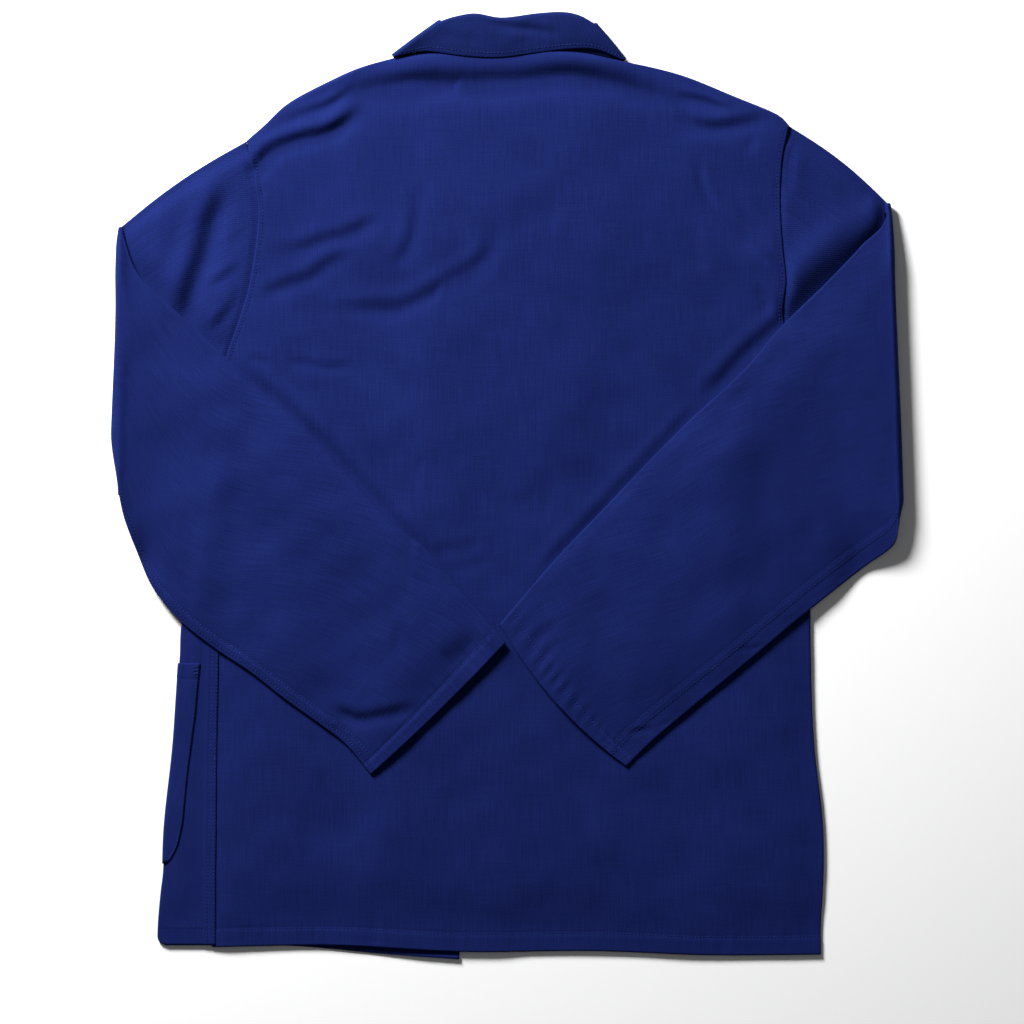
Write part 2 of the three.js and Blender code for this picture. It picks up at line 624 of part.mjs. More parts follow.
function sleeveGeometry(sleeve) {
  const hole = armhole(sleeve);
  const last = hole.length - 1;
  const shares = hole.map((point) => (hole[0].y - point.y) / (hole[0].y - hole[last].y));
  const holeAt = (share) => {
    const k = shares.findIndex((value) => Math.abs(value - share) < 1e-9);
    return hole[k];
  };
  const foldAt = (share) => ({
    x: sleeve.foldTop.x + (sleeve.foldUnder.x - sleeve.foldTop.x) * share,
    y: sleeve.foldTop.y + (sleeve.foldUnder.y - sleeve.foldTop.y) * share,
  });
  // Moves a point along the station's own line, by the rounding at the ends of the ring
  const alongStation = (share, out, top, under) => {
    const length = Math.hypot(under.x - top.x, under.y - top.y);
    const inset = share === 0 ? 1 : share === 1 ? -1 : 0;
    const shift = inset * (SLEEVE_HALF - out + CLOTH / 2);
    return { x: ((under.x - top.x) / length) * shift, y: ((under.y - top.y) / length) * shift };
  };
  const grid = [];
  for (let k = 0; k <= UPPER_SLEEVE_STEPS; k += 1) {
    const t = k / UPPER_SLEEVE_STEPS;
    grid.push(sleeveRing(shares, SLEEVE_HALF, (share, offset, out) => {
      const a = holeAt(share);
      const b = foldAt(share);
      const shift = alongStation(share, out, hole[0], hole[last]);
      const bulge = Math.sin(Math.PI * t) * (1 - share);
      const x = a.x + (b.x - a.x) * t + shift.x + sleeve.side * SHOULDER_BULGE.x * bulge;
      const y = a.y + (b.y - a.y) * t + shift.y + SHOULDER_BULGE.y * bulge;
      return new THREE.Vector3(x, y, FRONT_LEVEL + SLEEVE_HALF + offset);
    }));
  }
  const centreZ = FRONT_LEVEL + SLEEVE_HALF + SLEEVE_FOLD_RADIUS;
  for (let k = 1; k < FOLD_STEPS; k += 1) {
    const angle = (Math.PI * k) / FOLD_STEPS;
    grid.push(sleeveRing(shares, SLEEVE_HALF, (share, offset, out) => {
      const b = foldAt(share);
      const shift = alongStation(share, out, sleeve.foldTop, sleeve.foldUnder);
      const radius = SLEEVE_FOLD_RADIUS - offset;
      const x = b.x + shift.x + sleeve.side * radius * Math.sin(angle);
      return new THREE.Vector3(x, b.y + shift.y, centreZ - radius * Math.cos(angle));
    }));
  }
  const foldStation = {
    topX: sleeve.foldTop.x,
    topY: sleeve.foldTop.y,
    underX: sleeve.foldUnder.x,
    underY: sleeve.foldUnder.y,
    bow: 0,
  };
  [foldStation, ...sleeve.stations].forEach((station, k) => {
    const settled = smooth(-0.5, FOLD_SETTLED_STATION, k);
    const half = SLEEVE_HALF + (SLEEVE_HALF_FOLDED - SLEEVE_HALF) * settled;
    const top = { x: station.topX, y: station.topY };
    const under = { x: station.underX, y: station.underY };
    const length = Math.hypot(under.x - top.x, under.y - top.y);
    const bowX = (sleeve.side * (under.y - top.y)) / length;
    const bowY = (-sleeve.side * (under.x - top.x)) / length;
    grid.push(sleeveRing(shares, half, (share, offset, out) => {
      const shift = alongStation(share, out, top, under);
      const bow = station.bow * 4 * share * (1 - share);
      const x = top.x + (under.x - top.x) * share + shift.x + bowX * bow;
      const y = top.y + (under.y - top.y) * share + shift.y + bowY * bow;
      const folded = centreZ + SLEEVE_FOLD_RADIUS;
      const resting = sleeveRest(sleeve, x, y) + half;
      const middle = folded + (resting - folded) * settled;
      return new THREE.Vector3(x, y, middle - offset);
    }));
  });
  return thickWall(grid, CLOTH, true);
}

// Collar

function collarGeometry() {
  const grid = [];
  const addStation = (row, turnDegrees) => {
    const turn = (turnDegrees * Math.PI) / 180;
    const mix = turnDegrees / 180;
    const roll = ROLL_BACK + (ROLL_FRONT - ROLL_BACK) * mix;
    const edgeLevel = EDGE_LEVEL_BACK + (EDGE_LEVEL_FRONT - EDGE_LEVEL_BACK) * mix;
    const span = Math.hypot(row.rollX - row.seamX, row.rollY - row.seamY);
    const inX = (row.rollX - row.seamX) / span;
    const inY = (row.rollY - row.seamY) / span;
    const creaseX = row.rollX - inX * roll;
    const creaseY = row.rollY - inY * roll;
    const side = Math.sign(row.edgeX);
    const lineX = row.rollX - row.edgeX;
    const lineY = row.rollY - row.edgeY;
    const lineLength = Math.hypot(lineX, lineY);
    const outX = (side * lineY) / lineLength;
    const outY = (-side * lineX) / lineLength;
    const place = (x, y, level) => new THREE.Vector3(
      x + outX * level * Math.sin(turn),
      y + outY * level * Math.sin(turn),
      NECK_MIDDLE + level * Math.cos(turn),
    );
    const points = [place(row.seamX, row.seamY, STAND_HALF), place(creaseX, creaseY, STAND_HALF)];
    for (const degrees of ROLL_ANGLES) {
      const angle = (degrees * Math.PI) / 180;
      const reach = roll * Math.sin(angle);
      const level = STAND_HALF + roll * (1 - Math.cos(angle));
      points.push(place(creaseX + inX * reach, creaseY + inY * reach, level));
    }
    const fallLevel = STAND_HALF + 2 * roll;
    for (const t of FALL_SHARES) {
      const x = creaseX + (row.edgeX - creaseX) * t;
      const y = creaseY + (row.edgeY - creaseY) * t;
      points.push(place(x, y, fallLevel + (edgeLevel - fallLevel) * t));
    }
    grid.push(points);
  };
  COLLAR.forEach((row, k) => {
    addStation(row, row.turn);
    const next = COLLAR[k + 1];
    if (!next || next.turn === row.turn) return;
    for (let step = 1; step < COLLAR_TURN_STEPS; step += 1) {
      const t = step / COLLAR_TURN_STEPS;
      const between = {};
      for (const key of Object.keys(row)) between[key] = row[key] + (next[key] - row[key]) * t;
      addStation(between, between.turn);
    }
  });
  return thickWall(grid, COLLAR_CLOTH);
}

// Buttons

function buttonGeometry() {
  const disc = new THREE.Shape();
  disc.absarc(0, 0, BUTTON_DIAMETER / 2, 0, 2 * Math.PI, false);
  for (const [sx, sy] of [[1, 1], [-1, 1], [-1, -1], [1, -1]]) {
    const hole = new THREE.Path();
    const x = sx * BUTTON_HOLE_OFFSET;
    const y = sy * BUTTON_HOLE_OFFSET;
    hole.absarc(x, y, BUTTON_HOLE_DIAMETER / 2, 0, 2 * Math.PI, true);
    disc.holes.push(hole);
  }
  return new THREE.ExtrudeGeometry(disc, {
    depth: BUTTON_THICKNESS,
    bevelEnabled: false,
    curveSegments: 4,
  });
}

// Assembly

const jacket = new THREE.Group();
jacket.position.x = -MIDDLE_X;

function addPiece(name, geometry, color, roughness) {
  const material = new THREE.MeshStandardMaterial({ color, roughness, metalness: 0 });
  const mesh = new THREE.Mesh(geometry, material);
  mesh.name = name;
  jacket.add(mesh);
  return mesh;
}

addPiece('back', backPanel(), CLOTH_BLUE, CLOTH_ROUGHNESS);
addPiece('front_left', leftFrontPanel(), CLOTH_BLUE, CLOTH_ROUGHNESS);
addPiece('front_right', rightFrontPanel(), CLOTH_BLUE, CLOTH_ROUGHNESS);
addPiece('sleeve_left', sleeveGeometry(LEFT_SLEEVE), CLOTH_BLUE, CLOTH_ROUGHNESS);
addPiece('sleeve_right', sleeveGeometry(RIGHT_SLEEVE), CLOTH_BLUE, CLOTH_ROUGHNESS);
addPiece('collar', collarGeometry(), CLOTH_BLUE, CLOTH_ROUGHNESS);
addPiece('pocket_left', leftPocket(), CLOTH_BLUE, CLOTH_ROUGHNESS);
addPiece('pocket_right', rightPocket(), CLOTH_BLUE, CLOTH_ROUGHNESS);
for (let k = 0; k < BUTTON_COUNT; k += 1) {
  const y = BUTTON_TOP_Y - k * BUTTON_PITCH;
  const button = addPiece(`button_${k + 1}`, buttonGeometry(), BUTTON_BLUE, BUTTON_ROUGHNESS);
  button.position.set(buttonLine(y), y, 0);
}

export default jacket;
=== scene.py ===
import math
import bpy
import numpy as np
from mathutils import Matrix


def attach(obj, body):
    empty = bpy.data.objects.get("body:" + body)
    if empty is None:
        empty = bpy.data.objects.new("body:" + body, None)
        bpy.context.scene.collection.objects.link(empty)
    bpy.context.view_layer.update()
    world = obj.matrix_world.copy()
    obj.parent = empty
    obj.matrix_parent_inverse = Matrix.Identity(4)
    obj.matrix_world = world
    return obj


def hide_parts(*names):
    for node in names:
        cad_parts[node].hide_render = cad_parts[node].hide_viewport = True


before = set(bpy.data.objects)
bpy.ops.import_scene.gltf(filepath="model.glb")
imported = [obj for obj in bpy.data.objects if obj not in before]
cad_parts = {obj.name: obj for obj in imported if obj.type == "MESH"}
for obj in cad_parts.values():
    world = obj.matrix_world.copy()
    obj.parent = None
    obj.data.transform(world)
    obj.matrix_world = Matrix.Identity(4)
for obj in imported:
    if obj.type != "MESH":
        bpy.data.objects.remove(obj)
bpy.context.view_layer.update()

# A chore jacket laid on its front, seen from above, with both sleeves folded across its back.
# Sizes are in millimetres until a mesh is made. +Y points to the collar, and the wearer's left
# lies at -X. Each sheet of cloth is worked out on a fine grid and becomes a thin closed shell.
METRE = 0.001
MIDDLE_X = -0.3
CLOTH = 0.8
COLLAR_CLOTH = 1.5
HALF = CLOTH / 2
TABLE_GAP = 0.55
FRONT_LEVEL = HALF + TABLE_GAP
BACK_LEVEL = 5.0
LAYER_GAP = 0.3
SEAM_GAP = 0.2
CELL = 3.7
COARSE_CELL = 6.0
FINE_CELL = 1.4
UP = np.array([0, 0, 1.0])

# Front lap, where the left front covers the right one
LAP_WIDTH = 42
LAP_AT_NECK = (24, 294)
LAP_AT_HEM = (-42, -406)
LEFT_LAP_LIFT = 3.1
BACK_LAP_LIFT = 1.7
NECK_LIFT = 2.8
POCKET_LIFT = CLOTH + LAYER_GAP
FLAP_LIFT = 1.5

# Hems, seams and pockets
HEM_DEPTH = 15
HEM_ZONE = 24
SEAM_ZONE = 13
TOPSTITCH = 3.6
FELL_WIDTH = 6.2
CORNER_RADIUS = 8
POCKET_TOP = -152.5
POCKET_HEIGHT = 172.5
POCKET_HEM = 12

# Collar, heights from the middle of the flattened neck
NECK_MIDDLE = 5.5
STAND_HALF = 1.7
ROLL_BACK = 3.4
ROLL_FRONT = 1.3
EDGE_LEVEL_BACK = 5.9
EDGE_LEVEL_FRONT = 4.3
COLLAR_STITCH = 5

# Sleeves: the reach is from armhole to fold, and a place across is a distance on a nominal width
SLEEVE_HALF = 2.3
SLEEVE_FOLD_RADIUS = 4.4
SLEEVE_EDGE = 1.1
SLEEVE_REACH = 96
SLEEVE_WIDTH = 240
EDGE_ZONE = 10
UNDER_ZONE = 27
CUFF_ZONE = 20
CUFF_HEM = 12.5
CUFF_LIFT = 2.4
ELBOW_DROOP = 3.6
FOLD_STEPS = 11
END_ANGLES = np.radians([60, 30, 0, -30, -60])


def columns(names, rows):
    """A table as a dictionary of its named columns."""
    return dict(zip(names.split(), np.array(rows, float).T))


BODY = columns("y left left_seam right right_seam", [
    (-408, -302.5, -255, 270, 214),
    (-375, -301.5, -255, 270.5, 214),
    (-340, -298.5, -255, 272, 215),
    (-300, -297, -254.5, 272, 216),
    (-222, -289, -254, 264, 219),
    (-150, -284, -252.5, 261, 223),
    (-60, -275, -253, 260.5, 232),
    (44, -256.5, -254, 258, 253),
])
BACK_HEM = columns("x y", [
    (-255, -397), (-149, -395.6), (-43, -401), (79, -400.5), (172, -404), (270, -403.5),
])
LEFT_FRONT_HEM = columns("x y", [(-300, -395.5), (-179, -396.5), (-107, -403), (-42, -407.6)])
RIGHT_FRONT_HEM_Y = -398

# Across the body from the armpits up: the armhole, then the shoulder line to the neck
UPPER = columns("left_x left_y right_x right_y", [
    (-254, 27, 255, 44),
    (-252, 72, 251, 82),
    (-243, 110, 242, 118),
    (-232, 142, 237, 150),
    (-223, 172, 239.5, 178),
    (-217, 209, 236.5, 207),
    (-215, 238, 234.5, 242),
    (-219, 268, 236, 280),
    (-225, 297, 242, 310),
    (-210, 310, 231, 320),
    (-188, 330, 195, 335),
    (-148, 351, 156, 351),
    (-124, 361, 126, 359.5),
    (-96, 368.5, 98, 364.5),
])
SHOULDER_ROW = 8
NECK_ROW = 13
NECK_RISE = 14.8
FRONT_NECK = columns("left_x left_y right_x right_y", [
    (-20, 300, 26, 300),
    (-50, 316, 56, 316),
    (-68, 336, 73, 336),
    (-78, 352, 82, 350),
    (-86, 365, 88, 361),
])

# Sleeve stations from the fold to the cuff: the edge along the arm's top and the underarm edge
STATION = "top_x top_y under_x under_y bow"
LEFT_SLEEVE = {
    "name": "left",
    "side": -1,
    "underarm": (-258.5, 31),
    "seam_width": 9,
    "seam_rise": 0.5,
    "fold_widening": 0.6,
    "fold_start": 0.45,
    "seam_blend": 0.26,
    "fold_round": 56,
    "stations": columns(STATION, [
        (-333, 223, -334, -8, 0),
        (-321, 187, -329, -30, 0),
        (-304, 167, -319, -57, 0),
        (-275, 141, -307, -85, 0),
        (-244, 112, -286, -112, 0),
        (-201, 72, -255, -138, 0),
        (-149, 22, -222, -160, 0),
        (-100, -31, -190, -185, 0),
        (-66, -59, -162, -205, 0),
        (-36, -94, -140, -222, 1),
        (-2, -135, -118, -248, 2),
    ]),
}
RIGHT_SLEEVE = {
    "name": "right",
    "side": 1,
    "underarm": (257.5, 48),
    "seam_width": 21,
    "seam_rise": 0.24,
    "fold_widening": 0.2,
    "fold_start": 0.8,
    "seam_blend": 0.08,
    "fold_round": 24,
    "stations": columns(STATION, [
        (326.5, 243.5, 335.5, -34, 0),
        (325.7, 231.5, 335, -37, 0),
        (304, 206.8, 332, -50, 0),
        (277, 178, 309, -68, 0),
        (237, 139, 278, -92, 0),
        (203, 100, 248, -116, 0),
        (158, 58, 215, -144, 0),
        (125, 25, 181, -172, 1),
        (82, -20, 152, -196, 3),
        (39, -65, 126, -218, 5),
        (-7, -119, 102, -241, 9),
    ]),
}
SHOULDER_BULGE = (2.4, 3.2)

LEFT_POCKET = columns("y inner outer", [
    (-152.5, -135, -265), (-195, -135, -269), (-248, -135, -276),
    (-290, -135, -280), (-308, -138, -284), (-318, -144, -288.5), (-325, -150, -295),
])
RIGHT_POCKET = columns("y inner outer", [
    (-152.5, 29, 207), (-195, 29, 203), (-248, 29, 196),
    (-290, 29, 189), (-311, 32, 183), (-325, 44, 172),
])

# Collar stations from the left front end round the back to the right front end
COLLAR = columns("seam_x seam_y roll_x roll_y edge_x edge_y turn", [
    (-1, 304, -1, 311, -50, 238, 180),
    (-24, 304.5, -22, 313, -82, 248, 180),
    (-48.5, 318, -42, 325, -107, 276, 180),
    (-66, 338, -56, 344, -118, 310, 180),
    (-76, 354, -60, 365, -114, 344, 180),
    (-87, 370, -57, 397, -98.5, 369, 180),
    (-87, 371.5, -57.5, 399, -98.5, 369, 0),
    (-64, 375.2, -45, 403, -72, 373.5, 0),
    (-38, 378.7, -28, 405.5, -40, 369.5, 0),
    (-6, 380.5, -5, 402, -8, 368, 0),
    (24, 379, 24, 405.5, 24, 372, 0),
    (50, 375.5, 46, 406.8, 54, 375.5, 0),
    (70, 371.8, 61, 404, 77, 375, 0),
    (89, 368, 74, 397, 99.5, 366, 0),
    (89, 366, 73.5, 395, 99.5, 366, 180),
    (80, 352.5, 66, 362, 117, 340, 180),
    (71.5, 338, 61, 344, 122, 308, 180),
    (54.5, 318, 48, 325, 111, 274, 180),
    (30, 304.5, 28, 313, 86, 247, 180),
    (7, 304, 7, 311, 56, 238, 180),
])
COLLAR_GROUPS = ((0, 5, 34), (6, 13, 84), (14, 19, 34))
COLLAR_TURN_STEPS = 10
CORNER_BULGE = 0.5

# Creases: points along each, its width, its depth (below zero is a trough) and its lean, which
# lifts the side to the left of its direction and lowers the other
BACK_CREASES = [
    ([(-157, 335), (-136, 343), (-100, 349), (-60, 351.5), (0, 351.5), (30, 355), (52, 357), (80, 354),
      (105, 347), (140, 337), (184, 327)], 12.5, -0.8, 7.8),
    ([(-118, 360), (-90, 366), (-50, 371), (0, 371), (56, 371), (94, 364), (120, 358)], 11, 2.0, 0.0),
    ([(-238, 258), (-219, 276), (-204, 291), (-180, 300.5), (-155, 307), (-137, 318.5), (-124, 331)],
     8, -0.8, 7.0),
    ([(-200, 315), (-170, 324), (-150, 332), (-137, 345)], 5, -0.4, 2.4),
    ([(-232, 281), (-222, 272.5), (-213, 270), (-205, 272)], 3.6, -1.8, 1.6),
    ([(-217, 267), (-211, 263), (-208, 254), (-211, 247)], 3.5, -0.7, 1.3),
    ([(139, 336), (156, 335.5), (169, 333), (182, 328), (194, 321)], 5, -0.5, 3.0),
    ([(148, 325), (158, 315), (174, 311), (200, 314), (229, 321)], 7, -1.1, 4.8),
    ([(-215, 205), (-180, 207), (-162, 213), (-140, 219), (-123, 227), (-104, 235)], 8, -0.6, 2.9),
    ([(-218, 158), (-205, 170), (-187, 177), (-170, 183), (-157, 193), (-144, 199), (-128, 203)],
     8, -0.6, 3.1),
    ([(-108, 186), (-92, 201), (-85, 216), (-82, 233), (-82, 250), (-83, 265)], 8, -0.5, 2.4),
    ([(-172, 152), (-145, 156), (-118, 156), (-93, 157), (-67, 169), (-50, 179), (-33, 188),
      (-22, 199), (-17, 213), (-13, 235)], 9, -0.6, 3.4),
    ([(-15.5, 134), (-13.5, 121), (-8.5, 104), (-3, 88)], 3.4, 1.1, 0.0),
    ([(-226, 113), (-212, 110), (-203, 105)], 4.5, -0.5, 1.4),
    ([(-192, 111), (-175, 108), (-153, 104), (-127, 108)], 5, -0.4, 1.5),
    ([(165, 289), (167, 272), (170, 259), (176, 246), (182, 236), (195, 222), (208, 210),
      (222, 196), (226, 193)], 4.5, -1.1, 3.4),
    ([(195, 263), (204, 246), (210, 233), (221, 216), (230, 199)], 6, -0.4, 1.7),
    ([(160, 227), (163, 212), (167, 199), (176, 186)], 8, -0.6, 1.5),
    ([(216, 175), (224, 160), (226, 147)], 6, -0.7, 2.1),
    ([(200, 214), (220, 190), (233, 170), (240, 148)], 13, 2.8, 0.0),
    ([(215, 306), (212, 293), (208, 285)], 6, -0.5, 1.1),
    ([(-15, -4), (0, -12), (20, -10), (35, 25)], 12, -0.6, 1.7),
    ([(-66, -50), (-45, -52), (-21, -46)], 7, -0.5, 1.5),
    ([(-60, -68), (-40, -69), (-10, -55)], 6, -0.4, 1.3),
    ([(-61, -273), (-40, -262), (-21, -256)], 12, -0.6, 1.5),
    ([(-190, -292), (-150, -285), (-110, -270)], 26, -1.2, 1.7),
    ([(60, -330), (120, -322), (170, -300)], 30, -0.8, 1.7),
    ([(161, 75), (180, 93), (204, 119), (232, 143), (246, 158)], 8, -0.6, 3.2),
    ([(-240, 116), (-215, 92), (-196, 76), (-147, 29), (-98, -24), (-55, -70), (-30, -96)],
     8, -0.8, 4.2),
    ([(20, -86), (36, -62), (66, -31), (122, 28), (150, 58), (168, 78)], 7, -0.5, 2.2),
    ([(95, 90), (85, 40), (92, -20)], 30, -0.8, 2.0),
    ([(-90, 60), (-70, 10), (-76, -30)], 24, -0.8, 2.0),
    ([(0, 236), (25, 238), (50, 232)], 18, -1.0, 1.1),
    ([(-118, 339), (-90, 333), (-66, 331)], 8, -0.4, 1.3),
]
LEFT_UPPER_CREASES = [
    ([(-292, 112), (-281, 150), (-275, 175), (-266, 200), (-259, 227), (-250, 248), (-235, 267)],
     12, -2.0, 8.2),
    ([(-262, 170), (-244, 182), (-226, 195)], 5, -0.7, 3.0),
    ([(-258, 132), (-240, 153), (-228, 170)], 6.5, -1.2, 4.0),
    ([(-300, 178), (-290, 212), (-276, 240)], 12, -0.3, 1.4),
    ([(-244, 222), (-234, 230), (-224, 234)], 5, -0.3, 1.2),
    ([(-243, 200), (-236, 214), (-226, 222)], 5, -0.3, 1.3),
    ([(-246, 128), (-238, 138), (-232, 147)], 5, -0.6, 1.6),
]
RIGHT_UPPER_CREASES = [
    ([(243, 246), (242, 263), (245, 283), (252, 303)], 7, -0.8, -2.4),
    ([(302, 238), (306, 252), (311, 259)], 5, -0.6, 1.0),
    ([(276, 205), (285, 222), (296, 240)], 13, 0.5, 0.8),
]
LEFT_SLEEVE_CREASES = [
    ([(-156, -189), (-141, -193), (-128, -198), (-110, -195), (-92, -191), (-72, -185)], 7, -1.2, 3.0),
    ([(-150, -203), (-139, -213), (-131, -222)], 5, -0.9, 1.8),
    ([(-60, -150), (-44, -140), (-24, -122)], 11, -0.6, 1.7),
    ([(-98, -148), (-97, -130), (-96, -117)], 5, -0.3, 0.8),
    ([(-144, -64), (-120, -88), (-100, -112)], 4, 0.3, 0.2),
    ([(-300, 90), (-240, 30), (-180, -30), (-130, -90)], 46, 0.8, 1.6),
    ([(-260, -60), (-230, -95), (-190, -120)], 24, -0.8, 0.8),
    ([(-245, 10), (-215, -20), (-190, -60)], 20, -0.5, 1.0),
    ([(-310, 130), (-318, 60), (-310, 0)], 24, -0.8, 0.9),
]
RIGHT_SLEEVE_CREASES = [
    ([(186, 70), (208, 86)], 7, -0.6, 1.0),
    ([(196, -98), (204, -60), (212, 0), (208, 40), (184, 72)], 34, 0.4, 5.0),
    ([(197, -138), (209, -139), (219, -137)], 3, -0.5, 0.8),
    ([(101, -214), (112, -209), (127, -208)], 3.4, -0.5, 0.9),
    ([(126, -207), (138, -202), (146, -199)], 3, -0.4, 0.8),
    ([(104, -231), (112, -233), (119, -232)], 3.4, -0.5, 0.9),
    ([(19, -132), (32, -122), (45, -115)], 6, -0.3, 0.8),
    ([(28, -146), (36, -138), (42, -131)], 5, -0.3, 0.7),
    ([(300, 60), (298, -10), (280, -60)], 30, -0.6, 1.0),
    ([(120, -20), (95, -60), (110, -110)], 34, -0.6, 1.2),
    ([(250, 100), (262, 60), (256, 20)], 20, -0.5, 0.7),
]
COLLAR_CREASES = [
    ([(-24, 404), (0, 398), (24, 394), (46, 389)], 6, -0.9, 2.6),
    ([(-62, 392), (-40, 386), (-20, 385)], 6, -0.4, 0.8),
    ([(-2, 380), (18, 384), (40, 383)], 6, -0.3, 0.7),
]
HIDDEN_CREASES = [
    ([(-240, 120), (-190, 90), (-130, 84)], 14, 1.2, 0.6),
    ([(-210, 10), (-160, -20), (-120, -10)], 16, 1.3, 0.5),
    ([(60, 120), (120, 90), (190, 96)], 15, 1.3, 0.6),
    ([(90, -30), (140, -60), (200, -50)], 14, 1.1, 0.5),
    ([(-180, 240), (-130, 262), (-100, 280)], 12, 1.2, 0.5),
    ([(120, 270), (150, 240), (200, 226)], 12, 1.2, 0.5),
]


# Curves and profiles

def join(*parts):
    return np.concatenate(parts)


def smooth(low, high, value):
    t = np.clip((value - low) / (high - low), 0, 1)
    return t * t * (3 - 2 * t)


def bell(distance, width):
    return np.exp(-((distance / width) ** 2))


def softer_max(a, b, blend):
    return (a + b + np.sqrt((a - b) ** 2 + blend ** 2)) / 2


def near_ends(distance):
    return np.minimum(distance, distance[-1] - distance)


def through(keys, values, at):
    """A smooth curve through a table's rows."""
    keys = np.asarray(keys, float)
    values = np.asarray(values, float)
    slopes = np.gradient(values, keys, axis=0)
    at = np.clip(at, keys[0], keys[-1])
    i = np.clip(np.searchsorted(keys, at, side="right") - 1, 0, len(keys) - 2)
    width = keys[i + 1] - keys[i]
    t = (at - keys[i]) / width
    start = (1 + 2 * t) * (1 - t) ** 2 * values[i] + t * (1 - t) ** 2 * width * slopes[i]
    end = t ** 2 * (3 - 2 * t) * values[i + 1] - t ** 2 * (1 - t) * width * slopes[i + 1]
    return start + end


def waves(x, y, size, seed):
    """Uneven waves about one high, most of them near the size given."""
    random = np.random.default_rng(seed)
    total = 0
    for _ in range(9):
        angle = random.uniform(0, math.pi)
        turn = 2 * math.pi / (size * random.uniform(0.7, 1.6))
        phase = random.uniform(0, 2 * math.pi)
        total = total + np.sin((x * math.cos(angle) + y * math.sin(angle)) * turn + phase)
    return total / 3


def ripple(place, pitch, seed):
    """Uneven puckers along a seam."""
    wander = np.sin(place / (pitch * 1.9) + seed) + np.sin(place / (pitch * 0.83) + 2.1 * seed)
    strength = 0.55 + 0.45 * np.sin(place / (pitch * 2.7) + 1.7 * seed)
    return np.sin(2 * math.pi * place / pitch + 1.4 * wander) * strength


def crease_height(x, y, creases):
    """The height that creases add to a sheet at x, y."""
    x, y = np.broadcast_arrays(np.asarray(x, float), np.asarray(y, float))
    total = np.zeros(x.shape)
    for points, width, depth, lean in creases:
        points = np.array(points, float)
        steps = np.linspace(0, len(points) - 1, 6 * len(points))
        line = np.stack([through(range(len(points)), points[:, k], steps) for k in (0, 1)], 1)
        low, high = line.min(0) - 3 * width, line.max(0) + 3 * width
        inside = (x > low[0]) & (x < high[0]) & (y > low[1]) & (y < high[1])
        if not inside.any():
            continue
        px, py = x[inside], y[inside]
        near = np.full(len(px), np.inf)
        side = np.zeros(len(px))
        place = np.zeros(len(px))
        for k in range(len(line) - 1):
            (ax, ay), (bx, by) = line[k], line[k + 1]
            dx, dy = bx - ax, by - ay
            t = np.clip(((px - ax) * dx + (py - ay) * dy) / (dx * dx + dy * dy), 0, 1)
            away_x, away_y = px - ax - dx * t, py - ay - dy * t
            distance = np.hypot(away_x, away_y)
            closer = distance < near
            near = np.where(closer, distance, near)
            side = np.where(closer, dx * away_y - dy * away_x, side)
            place = np.where(closer, (k + t) / (len(line) - 1), place)
        fade = smooth(0, 0.28, place) * smooth(0, 0.28, 1 - place)
        signed = near * np.sign(side) / width
        total[inside] += fade * (depth + lean * signed) * np.exp(-(signed ** 2))
    return total


def spread(length, start, end, cell, fine=FINE_CELL):
    """Places along a length: fine steps within start and end of its two ends, cells between."""
    first = np.linspace(0, start, max(1, round(start / fine)) + 1)
    last = length - np.linspace(end, 0, max(1, round(end / fine)) + 1)
    middle = np.linspace(start, length - end, max(2, round((length - start - end) / cell)) + 1)
    return join(first[:-1] if start else [], middle, last[1:] if end else [])


def place_at(distance, places):
    """Where a distance falls in a row of places, as a fraction of its steps."""
    return np.interp(distance, places, np.arange(len(places)))


def hem_profile(distance, x, seed):
    """A turned-up hem: its band, the groove at its stitches and its puckers."""
    band = 0.12 * (1 - smooth(HEM_DEPTH - 1.5, HEM_DEPTH + 2, distance))
    groove = -0.25 * bell(distance - HEM_DEPTH, 1.6)
    return band + groove + 0.34 * ripple(x, 11, seed) * bell(distance - HEM_DEPTH + 3, 8)


def seam_profile(distance, place, seed):
    """The edge of a panel felled over its neighbour: a groove at its stitches, and puckers."""
    groove = -0.22 * bell(distance - TOPSTITCH, 1.4)
    return groove + 0.3 * ripple(place, 9, seed) * bell(distance - 4, 6)


# Heights of the middle of each layer

def body_edge(name, y):
    return through(BODY["y"], BODY[name], y)


def lap_edge(y):
    t = (y - LAP_AT_HEM[1]) / (LAP_AT_NECK[1] - LAP_AT_HEM[1])
    return LAP_AT_HEM[0] + (LAP_AT_NECK[0] - LAP_AT_HEM[0]) * t


def button_line(y):
    return lap_edge(y) - LAP_WIDTH / 2


def lap_fade(y):
    return smooth(-385, -325, y)


def neck_lift(y):
    return NECK_LIFT * smooth(165, 205, y)


def pocket_lift(x, y, pocket):
    outward = np.sign(pocket["outer"][0] - pocket["inner"][0]) * (x - pocket["inner"][0])
    lift = (1 - smooth(4, 26, -outward)) * (1 - smooth(4, 26, y - pocket["y"][0]))
    return POCKET_LIFT * lift * (1 - smooth(4, 26, pocket["y"][-1] - y))


def left_front_level(x, y):
    lap = LEFT_LAP_LIFT * smooth(-68, -38, x - button_line(y)) * lap_fade(y)
    lift = np.maximum(np.maximum(lap, neck_lift(y)), pocket_lift(x, y, LEFT_POCKET))
    return FRONT_LEVEL + FLAP_LIFT * smooth(-402, -406, y) + lift


def right_front_level(x, y):
    over_lap = 1 - smooth(50, 82, x - button_line(y))
    lap = LEFT_LAP_LIFT * lap_fade(y) * over_lap
    lift = np.maximum(np.maximum(lap, neck_lift(y)), pocket_lift(x, y, RIGHT_POCKET))
    return FRONT_LEVEL + (CLOTH + LAYER_GAP) * over_lap + lift


def back_hem(x):
    return through(BACK_HEM["x"], BACK_HEM["y"], x)


